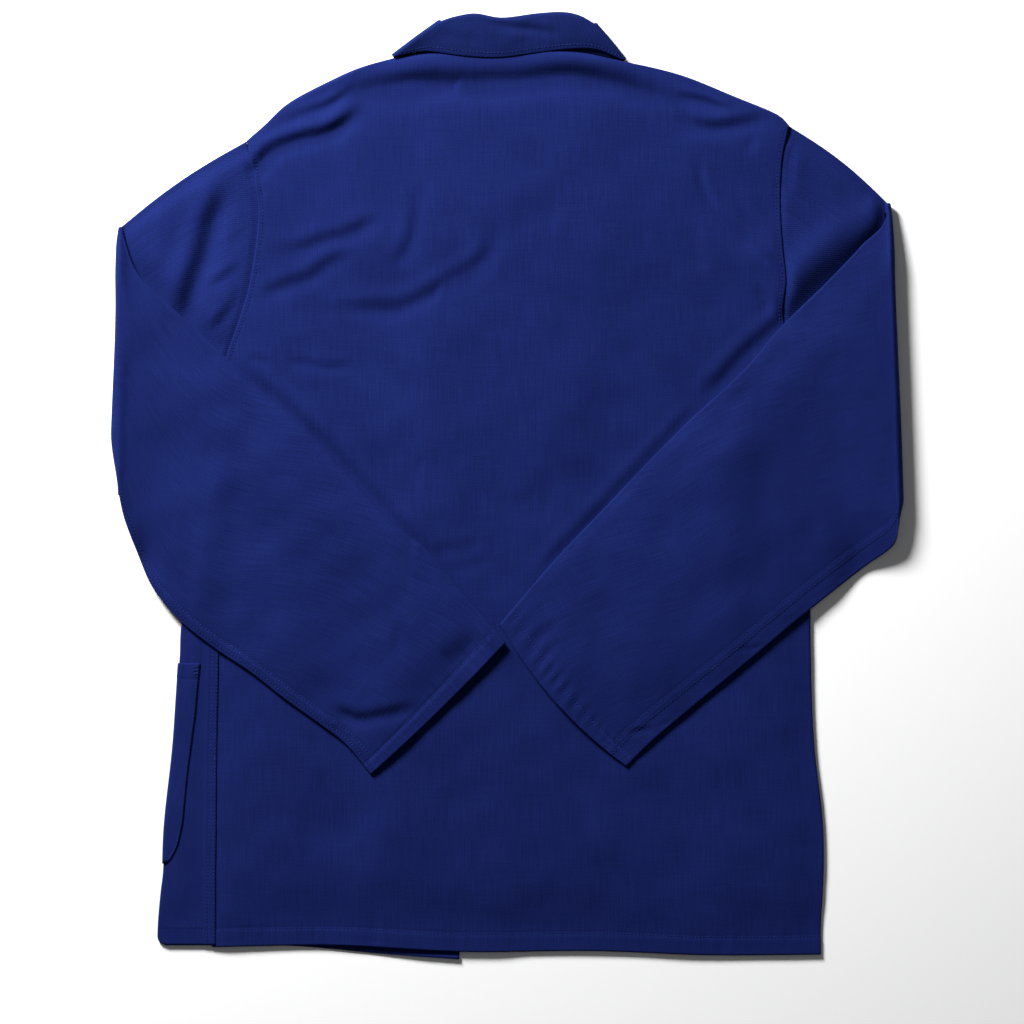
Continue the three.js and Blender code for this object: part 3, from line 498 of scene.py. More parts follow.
def back_level(x, y):
    """The middle of the jacket's upper layer, which the sleeves rest on."""
    from_buttons = x - button_line(y)
    lap = BACK_LAP_LIFT * smooth(-95, -50, from_buttons) * (1 - smooth(78, 125, from_buttons))
    level = BACK_LEVEL + lap * lap_fade(y) + 1.5 * smooth(150, 215, y)
    # The side edges fall away, and a shallow trough runs beside the left side seam
    from_left, from_right = x - body_edge("left", y), body_edge("right", y) - x
    side = 0.9 * (1 - smooth(0, 16, from_left)) + 1.3 * bell(from_left - 34, 15)
    side = side + 1.7 * (1 - smooth(0, 34, from_right))
    level = level - side * (1 - smooth(10, 60, y))
    level = level - 3.3 * (1 - smooth(2, 60, y - back_hem(x)))
    level = level + 0.5 * waves(x, y, 105, 3) + 0.22 * waves(x, y, 48, 5)
    level = level + crease_height(x, y, BACK_CREASES)
    # It stays clear of the fronts and, at the neck, of the collar's stand
    over_left = np.where(x < lap_edge(y) + 30, left_front_level(x, y), 0)
    over_right = np.where(x > lap_edge(y) - LAP_WIDTH - 30, right_front_level(x, y), 0)
    clear = np.maximum(over_left, over_right) + CLOTH + LAYER_GAP
    collar_top = 4.7 + (NECK_MIDDLE - 4.7) * smooth(362, 374, y)
    clear = np.maximum(clear, np.where(y > 280, collar_top, 0))
    return softer_max(level, clear, 0.7)


def hidden_folds(x, y):
    """Low folds in the layers that face the table, which lift off it a little."""
    return np.clip(crease_height(x, y, HIDDEN_CREASES), 0, 1.4)


# Meshes

def quads(grid):
    """Faces between the rows and places of a grid of corner numbers."""
    corners = [grid[:-1, :-1], grid[:-1, 1:], grid[1:, 1:], grid[1:, :-1]]
    return np.stack([corner.ravel() for corner in corners], 1)


def build_mesh(name, points, faces, coords=None):
    """An object at the origin from points in millimetres and faces of four corners."""
    used, faces = np.unique(faces, return_inverse=True)
    faces = faces.reshape(-1, 4).astype(np.int32)
    points = points[used].copy()
    points[:, 0] -= MIDDLE_X
    mesh = bpy.data.meshes.new(name)
    mesh.vertices.add(len(points))
    mesh.vertices.foreach_set("co", (points * METRE).astype(np.float32).ravel())
    mesh.loops.add(faces.size)
    mesh.loops.foreach_set("vertex_index", faces.ravel())
    mesh.polygons.add(len(faces))
    mesh.polygons.foreach_set("loop_start", np.arange(0, faces.size, 4, dtype=np.int32))
    mesh.update(calc_edges=True)
    mesh.polygons.foreach_set("use_smooth", np.ones(len(faces), bool))
    if coords is not None:
        layer = mesh.uv_layers.new(name="Cloth")
        layer.data.foreach_set("uv", (coords[used][faces.ravel()] * METRE).astype(np.float32).ravel())
    thing = bpy.data.objects.new(name, mesh)
    bpy.context.scene.collection.objects.link(thing)
    return thing


def finished(thing, material, slot):
    """Gives a piece its material and has it ride on the jacket. Its slot argument is not used."""
    thing.data.materials.append(MATERIALS[material])
    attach(thing, "root")
    return thing


SURFACES = {}


def shell(name, middle, coords, closed=False, missing=None, thickness=CLOTH):
    """A thin closed shell round a grid of points. missing marks cells that are left out."""
    rows, places = middle.shape[:2]
    if closed:
        along = np.roll(middle, -1, 1) - np.roll(middle, 1, 1)
    else:
        along = np.gradient(middle, axis=1)
    normal = np.cross(along, np.gradient(middle, axis=0))
    normal /= np.maximum(np.linalg.norm(normal, axis=2, keepdims=True), 1e-9)
    half = np.broadcast_to(np.asarray(thickness, float) / 2, (rows, places))[..., None]
    outer = middle + normal * half
    inner = middle - normal * half
    SURFACES[name] = (outer, normal, closed)
    count = rows * places
    index = np.arange(count).reshape(rows, places)
    if closed:
        index = np.concatenate([index, index[:, :1]], 1)
    faces = quads(index)
    if missing is not None:
        faces = faces[~missing.ravel()]
    starts, ends = faces.ravel(), np.roll(faces, -1, 1).ravel()
    rim = ~np.isin(starts * count + ends, ends * count + starts)
    starts, ends = starts[rim], ends[rim]
    rim_faces = np.stack([ends, starts, starts + count, ends + count], 1)
    faces = join(faces, faces[:, ::-1] + count, rim_faces)
    points = join(outer.reshape(-1, 3), inner.reshape(-1, 3))
    flat = coords.reshape(-1, 2)
    return build_mesh(name, points, faces, join(flat, flat))


def cloth_piece(node, middle, coords, material="twill", **options):
    """A sheet of cloth in the place of a node of the frame."""
    piece = shell(f"{node}_cloth", middle, coords, **options)
    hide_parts(node)
    return finished(piece, material, material)


def as_grid(rows):
    """Points and flat coordinates from rows of x, y, z and the place across the flat cloth."""
    table = np.array(rows).transpose(0, 2, 1)
    return table[..., :3], table[..., [3, 1]]


def padded(count, *values):
    """Rows with their last value repeated, where a panel has no cells beyond its edge."""
    return [join(row, np.full(count, row[-1])) for row in values]


def on_surface(piece, row, place):
    """Points and normals on a shell's outer side at fractions of its grid."""
    outer, normal, closed = SURFACES[piece.name]
    row, place = np.broadcast_arrays(np.asarray(row, float), np.asarray(place, float))
    i = np.clip(np.floor(row).astype(int), 0, outer.shape[0] - 2)
    j = np.floor(place).astype(int)
    a, b = (row - i)[:, None], (place - j)[:, None]
    if closed:
        j = j % outer.shape[1]
    else:
        j = np.clip(j, 0, outer.shape[1] - 2)
        b = (place - j)[:, None]
    k = (j + 1) % outer.shape[1]

    def mix(grid):
        first = grid[i, j] * (1 - b) + grid[i, k] * b
        second = grid[i + 1, j] * (1 - b) + grid[i + 1, k] * b
        return first * (1 - a) + second * a

    return mix(outer), mix(normal)


# Stitches: each is a short bar with low tapered ends that sinks a little into the cloth
STITCH_LENGTH = 2.3
STITCH_PITCH = 3.1
STITCH_WIDTH = 0.62
STITCH_HEIGHT = 0.34
STITCH_SINK = 0.12
STITCH_TAPER = 0.28
STITCH_FACES = np.array([
    (0, 1, 3, 2), (4, 6, 7, 5), (0, 4, 5, 1), (2, 3, 7, 6), (1, 5, 7, 3), (0, 2, 6, 4),
])


def stitch_line(points, normals, start=1.5, length=STITCH_LENGTH):
    """Corners of the stitches along a line on a surface, eight to a stitch."""
    steps = np.linalg.norm(np.diff(points, axis=0), axis=1)
    place = join([0], np.cumsum(steps))
    first = np.arange(start, place[-1] - length, STITCH_PITCH)

    def at(where, values):
        return np.stack([np.interp(where, place, values[:, k]) for k in range(3)], 1)

    head, tail = at(first, points), at(first + length, points)
    up = at(first + length / 2, normals)
    up /= np.linalg.norm(up, axis=1, keepdims=True)
    ahead = tail - head
    across = np.cross(up, ahead)
    across /= np.maximum(np.linalg.norm(across, axis=1, keepdims=True), 1e-9)
    corners = []
    for end, inward in ((head, STITCH_TAPER), (tail, -STITCH_TAPER)):
        for side in (-0.5, 0.5):
            corners.append(end + across * side * STITCH_WIDTH - up * STITCH_SINK)
            top = end + ahead * inward + across * side * STITCH_WIDTH * 0.6
            corners.append(top + up * STITCH_HEIGHT)
    return np.stack(corners, 1)


def stitches(name, lines, **shape):
    """All the stitches of one panel as a joined mesh."""
    corners = join(*(stitch_line(points, normals, **shape) for points, normals in lines))
    faces = (STITCH_FACES[None] + 8 * np.arange(len(corners))[:, None, None]).reshape(-1, 4)
    thing = build_mesh(name, corners.reshape(-1, 3), faces[:, ::-1])
    return finished(thing, "thread", "twill")


# Materials

def set_inputs(node, values):
    for key, value in values.items():
        node.inputs[key].default_value = value
    return node


def new_material(name, base, roughness, specular):
    made = bpy.data.materials.new(name)
    made.use_nodes = True
    shader = made.node_tree.nodes["Principled BSDF"]
    values = {"Base Color": (*base, 1), "Roughness": roughness, "Specular IOR Level": specular}
    return made, made.node_tree, set_inputs(shader, values)


def weighted(tree, terms):
    """The sum of several sources, each times its share."""
    total = None
    for source, share in terms:
        node = tree.nodes.new("ShaderNodeMath")
        node.operation = "MULTIPLY_ADD"
        tree.links.new(source, node.inputs[0])
        node.inputs[1].default_value = share
        node.inputs[2].default_value = 0
        if total is not None:
            tree.links.new(total, node.inputs[2])
        total = node.outputs[0]
    return total


def scaled(tree, source, scale):
    """Coordinates times a scale along each axis."""
    node = set_inputs(tree.nodes.new("ShaderNodeMapping"), {"Scale": scale})
    tree.links.new(source, node.inputs["Vector"])
    return node.outputs[0]


def noise(tree, source, scale, detail, roughness=0.55):
    values = {"Scale": scale, "Detail": detail, "Roughness": roughness}
    node = set_inputs(tree.nodes.new("ShaderNodeTexNoise"), values)
    tree.links.new(source, node.inputs["Vector"])
    return node.outputs["Fac"]


def colour_by(tree, shader, tone, low, high):
    """Colours a shader from low to high, each a position of the tone and its colour."""
    ramp = tree.nodes.new("ShaderNodeValToRGB")
    for element, (position, colour) in zip(ramp.color_ramp.elements, (low, high)):
        element.position = position
        element.color = (*colour, 1)
    tree.links.new(tone, ramp.inputs["Fac"])
    tree.links.new(ramp.outputs["Color"], shader.inputs["Base Color"])


def object_place(tree):
    return tree.nodes.new("ShaderNodeTexCoord").outputs["Object"]


def cloth_material(name, base, fade):
    """Blue cotton twill: diagonal wales, slubs along the warp, faded patches and a soft sheen."""
    made, tree, shader = new_material(name, base, 0.88, 0.06)
    sheen = {"Sheen Weight": 0.04, "Sheen Roughness": 0.5, "Sheen Tint": (0.06, 0.14, 0.6, 1)}
    set_inputs(shader, sheen)
    uv_map = tree.nodes.new("ShaderNodeUVMap")
    uv_map.uv_map = "Cloth"
    uv = uv_map.outputs[0]
    place = object_place(tree)

    wave = tree.nodes.new("ShaderNodeTexWave")
    wave.wave_type = "BANDS"
    wave.bands_direction = "DIAGONAL"
    set_inputs(wave, {"Scale": 0.5, "Distortion": 1.2, "Detail": 2, "Detail Scale": 1.5})
    tree.links.new(scaled(tree, uv, (700, 420, 0)), wave.inputs["Vector"])
    wale = wave.outputs["Fac"]
    warp = noise(tree, scaled(tree, uv, (900, 30, 1)), 1, 3)
    weft = noise(tree, scaled(tree, uv, (26, 760, 1)), 1, 2)
    grain = noise(tree, uv, 900, 2)
    cloud = noise(tree, place, 9, 4)
    patch = noise(tree, place, 38, 4, 0.62)

    shares = ((warp, 0.46), (weft, 0.2), (grain, 0.5), (cloud, 0.22), (patch, 0.16), (wale, 0.04))
    dark = (base[0] * 0.62, base[1] * 0.64, base[2] * 0.7)
    colour_by(tree, shader, weighted(tree, shares), (0.5, dark), (1.0, fade))

    bump = set_inputs(tree.nodes.new("ShaderNodeBump"), {"Strength": 0.38, "Distance": 0.0004})
    height = weighted(tree, ((warp, 0.5), (grain, 1), (wale, 0.45)))
    tree.links.new(height, bump.inputs["Height"])
    tree.links.new(bump.outputs["Normal"], shader.inputs["Normal"])
    return made


def thread_material():
    made, tree, shader = new_material("thread", (0.006, 0.013, 0.09), 0.8, 0.1)
    tone = noise(tree, object_place(tree), 260, 2)
    colour_by(tree, shader, tone, (0.38, (0.0046, 0.0102, 0.075)), (0.7, (0.012, 0.023, 0.14)))
    return made


def button_material():
    made, tree, shader = new_material("button", (0.012, 0.016, 0.055), 0.32, 0.5)
    tone = noise(tree, object_place(tree), 90, 5)
    colour_by(tree, shader, tone, (0.35, (0.007, 0.010, 0.036)), (0.72, (0.022, 0.028, 0.085)))
    rough = set_inputs(tree.nodes.new("ShaderNodeMapRange"), {"To Min": 0.22, "To Max": 0.46})
    tree.links.new(tone, rough.inputs["Value"])
    tree.links.new(rough.outputs["Result"], shader.inputs["Roughness"])
    return made


MATERIALS = {
    "twill": cloth_material("twill", (0.0040, 0.0090, 0.0700), (0.0069, 0.0150, 0.1060)),
    "collar_twill": cloth_material("collar_twill", (0.0030, 0.0072, 0.0540), (0.0050, 0.0120, 0.0840)),
    "thread": thread_material(),
    "button": button_material(),
}


# Body panels: their rows run from the hem up, and from one side of the panel to the other
BACK_LENGTH = 424
BACK_WIDTH = 510
LEFT_LENGTH = 410
LEFT_WIDTH = 270
RIGHT_LENGTH = 442
RIGHT_WIDTH = 280
LAP_STITCHES = (5, 36)
SIDE_TURN = math.pi * np.arange(1, 9) / 9


def toward(start, end, share):
    return start + (end - start) * share


def rounded(t):
    """How far a round corner lies inside its square one, from one at 0 to none at 1."""
    return 1 - np.sqrt(1 - (1 - np.clip(t, 0, 1)) ** 2)


def fitted(across, width, start, end):
    """Places on a nominal width fitted to a real one, with both end zones at their own size."""
    nominal = across[-1]
    scale = (width - start - end) / (nominal - start - end)
    distance = np.where(across <= start, across, start + (across - start) * scale)
    return np.where(across >= nominal - end, width - (nominal - across), distance)


def edge_point(side, k):
    """The armhole and shoulder edge of the body at row k of the table."""
    rows = np.arange(NECK_ROW + 1)
    point = []
    for axis in "xy":
        values = UPPER[f"{side}_{axis}"]
        low = through(rows[:SHOULDER_ROW + 1], values[:SHOULDER_ROW + 1], k)
        high = through(rows[SHOULDER_ROW:], values[SHOULDER_ROW:], k)
        point.append(np.where(k <= SHOULDER_ROW, low, high))
    return point


def upper_rows(cell):
    """Rows of the table from just above the armpits to the neck, spaced evenly up the middle."""
    k = np.linspace(0, NECK_ROW, 400)
    middle = (edge_point("left", k)[1] + edge_point("right", k)[1]) / 2
    height = middle + NECK_RISE * smooth(NECK_ROW - 3, NECK_ROW, k)
    count = round((height[-1] - height[0]) / cell)
    return np.interp(np.linspace(height[0], height[-1], count + 1)[1:], height, k)


def back_row(x, f):
    """The height of a row of the back, from its hem to the armpits."""
    armpits = toward(UPPER["left_y"][0], UPPER["right_y"][0], (x + 255) / 512)
    return toward(back_hem(x), armpits, f)


def left_hem(x):
    return through(LEFT_FRONT_HEM["x"], LEFT_FRONT_HEM["y"], x)


def left_row(x, f):
    return toward(left_hem(x), UPPER["left_y"][0], f)


def panel(node, rows, lower, across, **options):
    """A panel that wraps round a side seam up to the armpit, and has no cells there above it."""
    middle, coords = as_grid(rows)
    missing = np.zeros((middle.shape[0] - 1, middle.shape[1] - 1), bool)
    missing[len(lower) - 1:, len(across) - 1:] = True
    return cloth_piece(node, middle, coords, missing=missing, **options)


def make_back():
    lower = spread(BACK_LENGTH, HEM_ZONE, 0, CELL) / BACK_LENGTH
    upper = upper_rows(CELL)
    across = spread(BACK_WIDTH, SEAM_ZONE, SEAM_ZONE, CELL)
    under = np.linspace(0, 1, 10)
    pad = len(SIDE_TURN) + len(under)
    rows, thickness = [], []
    for f in lower:
        left_x = body_edge("left_seam", back_row(-255, f)) + SEAM_GAP
        right_y = back_row(265, f)
        centre_x = body_edge("right", right_y) - HALF - 1.5
        distance = fitted(across, centre_x - left_x, SEAM_ZONE, SEAM_ZONE)
        x = left_x + distance
        y = back_row(x, f)
        from_hem = y - back_hem(x)
        z = back_level(x, y) + hem_profile(from_hem, x, 1) * (from_hem < 60)
        z = z - 0.35 * bell(distance, 9)
        # Round the right edge and under it to the side seam
        radius = (z[-1] - FRONT_LEVEL) / 2
        under_x = toward(centre_x, body_edge("right_seam", right_y) + SEAM_GAP, under)
        x_row = join(x, centre_x + radius * np.sin(SIDE_TURN), under_x)
        y_row = join(y, np.full(pad, right_y))
        fold_z = FRONT_LEVEL + radius + radius * np.cos(SIDE_TURN)
        z_row = join(z, fold_z, np.full(len(under), FRONT_LEVEL))
        flat_x = join(x, centre_x + radius * SIDE_TURN, 2 * centre_x + math.pi * radius - under_x)
        rows.append((x_row, y_row, z_row, flat_x))
        in_hem = y_row - back_hem(np.clip(x_row, -255, 270)) < HEM_DEPTH
        thickness.append(np.where(in_hem, CLOTH * 1.7, CLOTH))
    for k in upper:
        (left_x, left_y), (right_x, right_y) = edge_point("left", k), edge_point("right", k)
        width = right_x - left_x - 2 * SEAM_GAP
        distance = fitted(across, width, SEAM_ZONE, SEAM_ZONE)
        x = left_x + SEAM_GAP + distance
        rise = NECK_RISE * np.sin(math.pi * distance / width) * smooth(NECK_ROW - 3, NECK_ROW, k)
        y = toward(left_y, right_y, distance / width) + rise
        z = toward(back_level(x, y), NECK_MIDDLE + STAND_HALF, smooth(NECK_ROW - 0.9, NECK_ROW, k))
        seam = smooth(0, 1, k) * (1 - smooth(SHOULDER_ROW - 0.6, SHOULDER_ROW + 0.4, k))
        z = z + seam * (seam_profile(distance, y, 4) + seam_profile(width - distance, y, 6))
        seated = FRONT_LEVEL + NECK_LIFT + CLOTH + 0.1
        on_shoulder = smooth(SHOULDER_ROW - 0.4, SHOULDER_ROW + 0.4, k)
        z = toward(z, seated, on_shoulder * rounded(near_ends(distance) / 8))
        x, y, z = padded(pad, x, y, z)
        rows.append((x, y, z, x))
        thickness.append(np.full(len(x), CLOTH))
    back = panel("back", rows, lower, across, thickness=np.array(thickness))
    hem_row = place_at(HEM_DEPTH, lower * BACK_LENGTH)
    arm_rows = np.arange(len(lower), len(lower) + np.searchsorted(upper, SHOULDER_ROW - 0.1), 0.5)
    lines = [on_surface(back, hem_row, np.linspace(4, len(across) + pad - 1.5, 900))]
    for distance in (TOPSTITCH, BACK_WIDTH - TOPSTITCH):
        lines.append(on_surface(back, arm_rows, place_at(distance, across)))
    return back, lines


def front_inner(side, k, outer_y):
    """The inner edge of a front at a row above the armpit: the lap, then the neck."""
    lap = 0 if side == "left" else LAP_WIDTH
    top_y = LAP_AT_NECK[1]
    if k <= SHOULDER_ROW:
        y = min(outer_y, top_y)
        return lap_edge(y) - lap, y
    place = np.arange(SHOULDER_ROW, NECK_ROW + 1)
    xs = join([lap_edge(top_y) - lap], FRONT_NECK[f"{side}_x"])
    ys = join([top_y], FRONT_NECK[f"{side}_y"])
    return through(place, xs, k), through(place, ys, k)


def side_fold(edge, y):
    """The fold at the jacket's left side: its lower and upper level, its radius and its centre."""
    low = left_front_level(edge + 10, y)
    top = back_level(np.array([edge + 6.0]), np.array([y]))[0]
    radius = (top - low) / 2
    return low, top, radius, edge + HALF + radius + (low - FRONT_LEVEL)


def make_front_left():
    lower = spread(LEFT_LENGTH, HEM_ZONE, 0, COARSE_CELL, 2) / LEFT_LENGTH
    upper = upper_rows(COARSE_CELL)
    across = spread(LEFT_WIDTH, 12, 0, COARSE_CELL, 2)
    share = across / LEFT_WIDTH
    wrap = join(np.linspace(0, 0.72, 12)[:-1], np.linspace(0.72, 1, 12))
    pad = len(SIDE_TURN) + len(wrap)
    rows = []
    for f in lower:
        left_y = left_row(-297.0, f)
        edge = body_edge("left", left_y)
        edge = edge + CORNER_RADIUS * rounded((left_y - left_hem(-297.0)) / CORNER_RADIUS)
        low, top, radius, centre_x = side_fold(edge, left_y)
        x = toward(lap_edge(left_row(-42.0, f)), centre_x, share)
        y = left_row(x, f)
        z = np.where(x < centre_x + 1, low, left_front_level(x, y))
        z = z + hidden_folds(x, y) * smooth(centre_x, centre_x + 30, x)
        # Round the left edge and over the top to the felled side seam
        end_x = body_edge("left_seam", left_y) + FELL_WIDTH - 3
        wrap_x = toward(centre_x, end_x, wrap)
        wrap_y = np.full(len(wrap), left_y)
        from_end = end_x - wrap_x
        wrap_z = toward(top, back_level(wrap_x, wrap_y), smooth(0, 9, wrap_x - centre_x))
        wrap_z = wrap_z + 0.5 * (1 - smooth(FELL_WIDTH + 2, FELL_WIDTH + 5, from_end))
        wrap_z = wrap_z - 0.25 * bell(from_end - FELL_WIDTH, 1.2)
        wrap_z = wrap_z + 0.12 * ripple(wrap_y, 9, 8) * (1 - smooth(4, 12, from_end))
        wrap_z = wrap_z + 0.8 * hem_profile(wrap_y - left_row(wrap_x, f), wrap_x, 2)
        rows.append((
            join(x, centre_x - radius * np.sin(SIDE_TURN), wrap_x),
            join(y, np.full(pad, left_y)),
            join(z, low + radius - radius * np.cos(SIDE_TURN), wrap_z),
            join(x, centre_x - radius * SIDE_TURN, 2 * centre_x - math.pi * radius - wrap_x),
        ))
    for k in upper:
        outer_x, outer_y = edge_point("left", k)
        inner_x, inner_y = front_inner("left", k, outer_y)
        x = toward(inner_x, outer_x + SEAM_GAP, share)
        y = toward(inner_y, outer_y, share)
        inside = smooth(0, 0.2, share) * smooth(0, 0.2, 1 - share)
        x, y, z = padded(pad, x, y, left_front_level(x, y) + hidden_folds(x, y) * inside)
        rows.append((x, y, z, x))
    front = panel("front_left", rows, lower, across)
    hem_row = place_at(HEM_DEPTH, lower * LEFT_LENGTH)
    lines = [on_surface(front, hem_row, np.linspace(2, len(across) + pad - 2, 900))]
    for end in (0.85, 0.965):
        place = len(across) + len(SIDE_TURN) + place_at(end, wrap)
        lines.append(on_surface(front, np.arange(1, len(lower) - 1, 0.5), place))
    for distance in LAP_STITCHES:
        lines.append(on_surface(front, np.arange(1, len(rows) - 12, 0.5), place_at(distance, across)))
    return front, lines


def make_front_right():
    lower = spread(RIGHT_LENGTH, HEM_ZONE, 0, COARSE_CELL, 2) / RIGHT_LENGTH
    across = spread(RIGHT_WIDTH, 12, 12, COARSE_CELL, 2)
    share = across / RIGHT_WIDTH
    ends = []
    for y in toward(RIGHT_FRONT_HEM_Y, UPPER["right_y"][0], lower):
        ends.append((lap_edge(y) - LAP_WIDTH, y, body_edge("right_seam", y), y))
    for k in upper_rows(COARSE_CELL):
        outer_x, outer_y = edge_point("right", k)
        ends.append((*front_inner("right", k, outer_y), outer_x, outer_y))
    rows = []
    for i, (inner_x, inner_y, outer_x, outer_y) in enumerate(ends):
        x = toward(inner_x, outer_x - SEAM_GAP, share)
        y = toward(inner_y, outer_y, share)
        z = right_front_level(x, y)
        if i < len(lower):
            z = toward(z, FRONT_LEVEL, smooth(0.97, 1, share))
        z = z + hidden_folds(x, y) * smooth(0.25, 0.5, share) * smooth(0, 0.15, 1 - share)
        rows.append(np.stack([x, y, z, x])[:, ::-1])
    front = panel("front_right", rows, lower, across)
    hem_row = place_at(HEM_DEPTH, lower * RIGHT_LENGTH)
    lines = [on_surface(front, hem_row, np.linspace(1, len(across) - 2, 700))]
    for distance in LAP_STITCHES:
        place = len(across) - 1 - place_at(distance, across)
        lines.append(on_surface(front, np.arange(1, len(rows) - 8, 0.5), place))
    return front, lines


# Pockets
POCKET_ROWS = POCKET_TOP - spread(POCKET_HEIGHT, 16, 0, 4)[::-1]
POCKET_HEM_ROW = len(POCKET_ROWS) - 1 - place_at(POCKET_HEM - POCKET_TOP, -POCKET_ROWS[::-1])
POCKET_STITCH = 2.4


def pocket_edges(pocket, y):
    return [np.interp(-y, -pocket["y"], pocket[name]) for name in ("inner", "outer")]


def make_pocket_left():
    inward = np.linspace(0, 1, 26)
    beyond = np.linspace(0, 1, 9)
    places = len(inward) + len(SIDE_TURN) + len(beyond)
    rows = []
    for y in POCKET_ROWS:
        inner, outer = pocket_edges(LEFT_POCKET, y)
        low, top, radius, centre_x = side_fold(body_edge("left", y), y)
        reach = radius + POCKET_LIFT
        x_low = toward(inner, centre_x, inward)
        x_top = toward(centre_x, outer, beyond)
        y_top = np.full(len(x_top), y)
        z_top = toward(top, back_level(x_top, y_top), smooth(0, 9, x_top - centre_x)) + POCKET_LIFT
        from_edge = outer - x_top
        z_top = z_top - 0.22 * bell(from_edge - POCKET_STITCH, 1.1)
        z_top = z_top - 0.25 * bell(POCKET_TOP - y - POCKET_HEM, 1.2)
        z_top = z_top + 0.14 * ripple(y_top, 8, 3) * bell(from_edge - POCKET_STITCH, 5)
        z_fold = low + radius - reach * np.cos(SIDE_TURN)
        rows.append((
            join(x_low, centre_x - reach * np.sin(SIDE_TURN), x_top),
            np.full(places, y),
            join(np.full(len(x_low), FRONT_LEVEL), z_fold, z_top),
            join(x_low, centre_x - reach * SIDE_TURN, 2 * centre_x - math.pi * reach - x_top),
        ))
    in_hem = POCKET_TOP - POCKET_ROWS[:, None] < POCKET_HEM
    thickness = np.where(in_hem, CLOTH * 1.5, CLOTH)
    pocket = cloth_piece("pocket_left", *as_grid(rows), thickness=thickness)
    near_end = places - 1 - POCKET_STITCH / (30 / 8)
    level_places = np.linspace(1, near_end, 300)
    side_rows = np.arange(2, len(rows) - 1, 0.5)
    tack_rows = np.arange(POCKET_HEM_ROW, len(rows) - 1.2, 0.5)
    return pocket, [
        on_surface(pocket, POCKET_HEM_ROW, level_places),
        on_surface(pocket, side_rows, near_end),
        on_surface(pocket, side_rows, 0.5),
        on_surface(pocket, 1.2, level_places),
        *(on_surface(pocket, tack_rows, near_end - 0.36 * k) for k in range(1, 5)),
    ]


def make_pocket_right():
    y = POCKET_ROWS[:, None] + np.zeros(40)
    inner, outer = pocket_edges(RIGHT_POCKET, y)
    x = toward(inner, outer, np.linspace(0, 1, 40)[::-1])
    middle = np.stack([x, y, np.full(x.shape, FRONT_LEVEL)], 2)
    pocket = cloth_piece("pocket_right", middle, middle[..., :2])
    level_places = np.linspace(0.5, 38.5, 200)
    side_rows = np.arange(1, len(POCKET_ROWS) - 1, 0.5)
    return pocket, [
        on_surface(pocket, POCKET_HEM_ROW, level_places),
        on_surface(pocket, side_rows, 0.5),
        on_surface(pocket, side_rows, 38.5),
        on_surface(pocket, 1.0, level_places),
    ]


# Sleeves
SLEEVE_PLACES = spread(SLEEVE_WIDTH, EDGE_ZONE, UNDER_ZONE, 4.4, 1.6)
PLACE_COUNT = len(SLEEVE_PLACES)


def sleeve_rest(sleeve, x, y):
    """The middle of the lower layer of a folded sleeve."""
    outside = sleeve["side"] * (x - body_edge(sleeve["name"], y))
    arm_x, arm_y = sleeve["underarm"]
    fold_x, fold_y = sleeve["stations"]["under_x"][0], sleeve["stations"]["under_y"][0]
    below = arm_y + (x - arm_x) * (arm_y - fold_y) / (arm_x - fold_x) - y
    droop = ELBOW_DROOP * smooth(12, 50, outside) * smooth(22, 70, below)
    tip = CUFF_LIFT * smooth(-36, -12, x) if sleeve["side"] < 0 else 0
    return back_level(x, y) + CLOTH + LAYER_GAP - droop + tip


def sleeve_top_level(sleeve, x, y):
    """The middle of the upper layer between armhole and fold, at rest on the layer below."""
    if sleeve["side"] < 0:
        inward = (x + y + 132) / 1.41
        level = 7.2 + 1.4 * bell(inward - 22, 12) * smooth(222, 185, y)
        level = toward(level, 2.6, (1 - smooth(-8, 16, inward)) * smooth(222, 185, y))
        level = level + crease_height(x, y, LEFT_UPPER_CREASES)
    else:
        level = 7.4 + crease_height(x, y, RIGHT_UPPER_CREASES)
        # Towards the folded part the cloth falls away into a deep valley
        inward = (y - x + 100) / 1.41
        reach = 8 + 12 * smooth(325, 255, x)
        level = level + 4.4 * bell(inward - reach - 6, 12)
        level = toward(level, 2.2, 1 - smooth(-5, 0.8 * reach, inward))
    return level + 0.25 * waves(x, y, 50, 9)


def sleeve_line(top_edge, under_edge):
    """Across a sleeve from its top edge: each place's distance and share, the way and the length."""
    length = np.linalg.norm(under_edge - top_edge)
    margin = SLEEVE_EDGE + HALF
    distance = fitted(SLEEVE_PLACES, length - 2 * margin, EDGE_ZONE, UNDER_ZONE)
    way = np.append((under_edge - top_edge) / length, 0)
    return distance, (distance + margin) / length, way, length


def on_table(plan):
    return np.pad(plan, ((0, 0), (0, 1)))


def round_ring(values):
    """Values for each place, repeated round the ring that a sleeve's row is."""
    ends = [np.full(len(END_ANGLES), values[k]) for k in (-1, 0)]
    return join(values, ends[0], values[::-1], ends[1])


def ring(plan, way, normal, upper, lower):
    """Points round a sleeve: its upper layer, the under edge, its lower layer, the top edge."""
    ends = []
    for k, sign in ((-1, 1), (0, -1)):
        turn = END_ANGLES * sign
        level = (upper[k] + lower[k]) / 2 + (upper[k] - lower[k]) / 2 * np.sin(turn)
        out = way * (sign * SLEEVE_EDGE * np.cos(turn))[:, None]
        ends.append(plan[k] + out + normal * level[:, None])
    bottom = plan + normal * lower[:, None]
    return join(plan + normal * upper[:, None], ends[0], bottom[::-1], ends[1])


def ring_flat(distance, arm, slope=2):
    """Flat coordinates round a sleeve at a place along the arm."""
    length = distance[-1]
    ends = np.linspace(-slope, slope, len(END_ANGLES))
    flat = join(distance, length + 2 + ends, 2 * length + 4 - distance[::-1], -2 - ends)
    return np.stack([flat, np.full(len(flat), arm)], 1)


def fold_ends(sleeve):
    stations = sleeve["stations"]
    return [np.array([stations[f"{edge}_x"][0], stations[f"{edge}_y"][0]]) for edge in ("top", "under")]


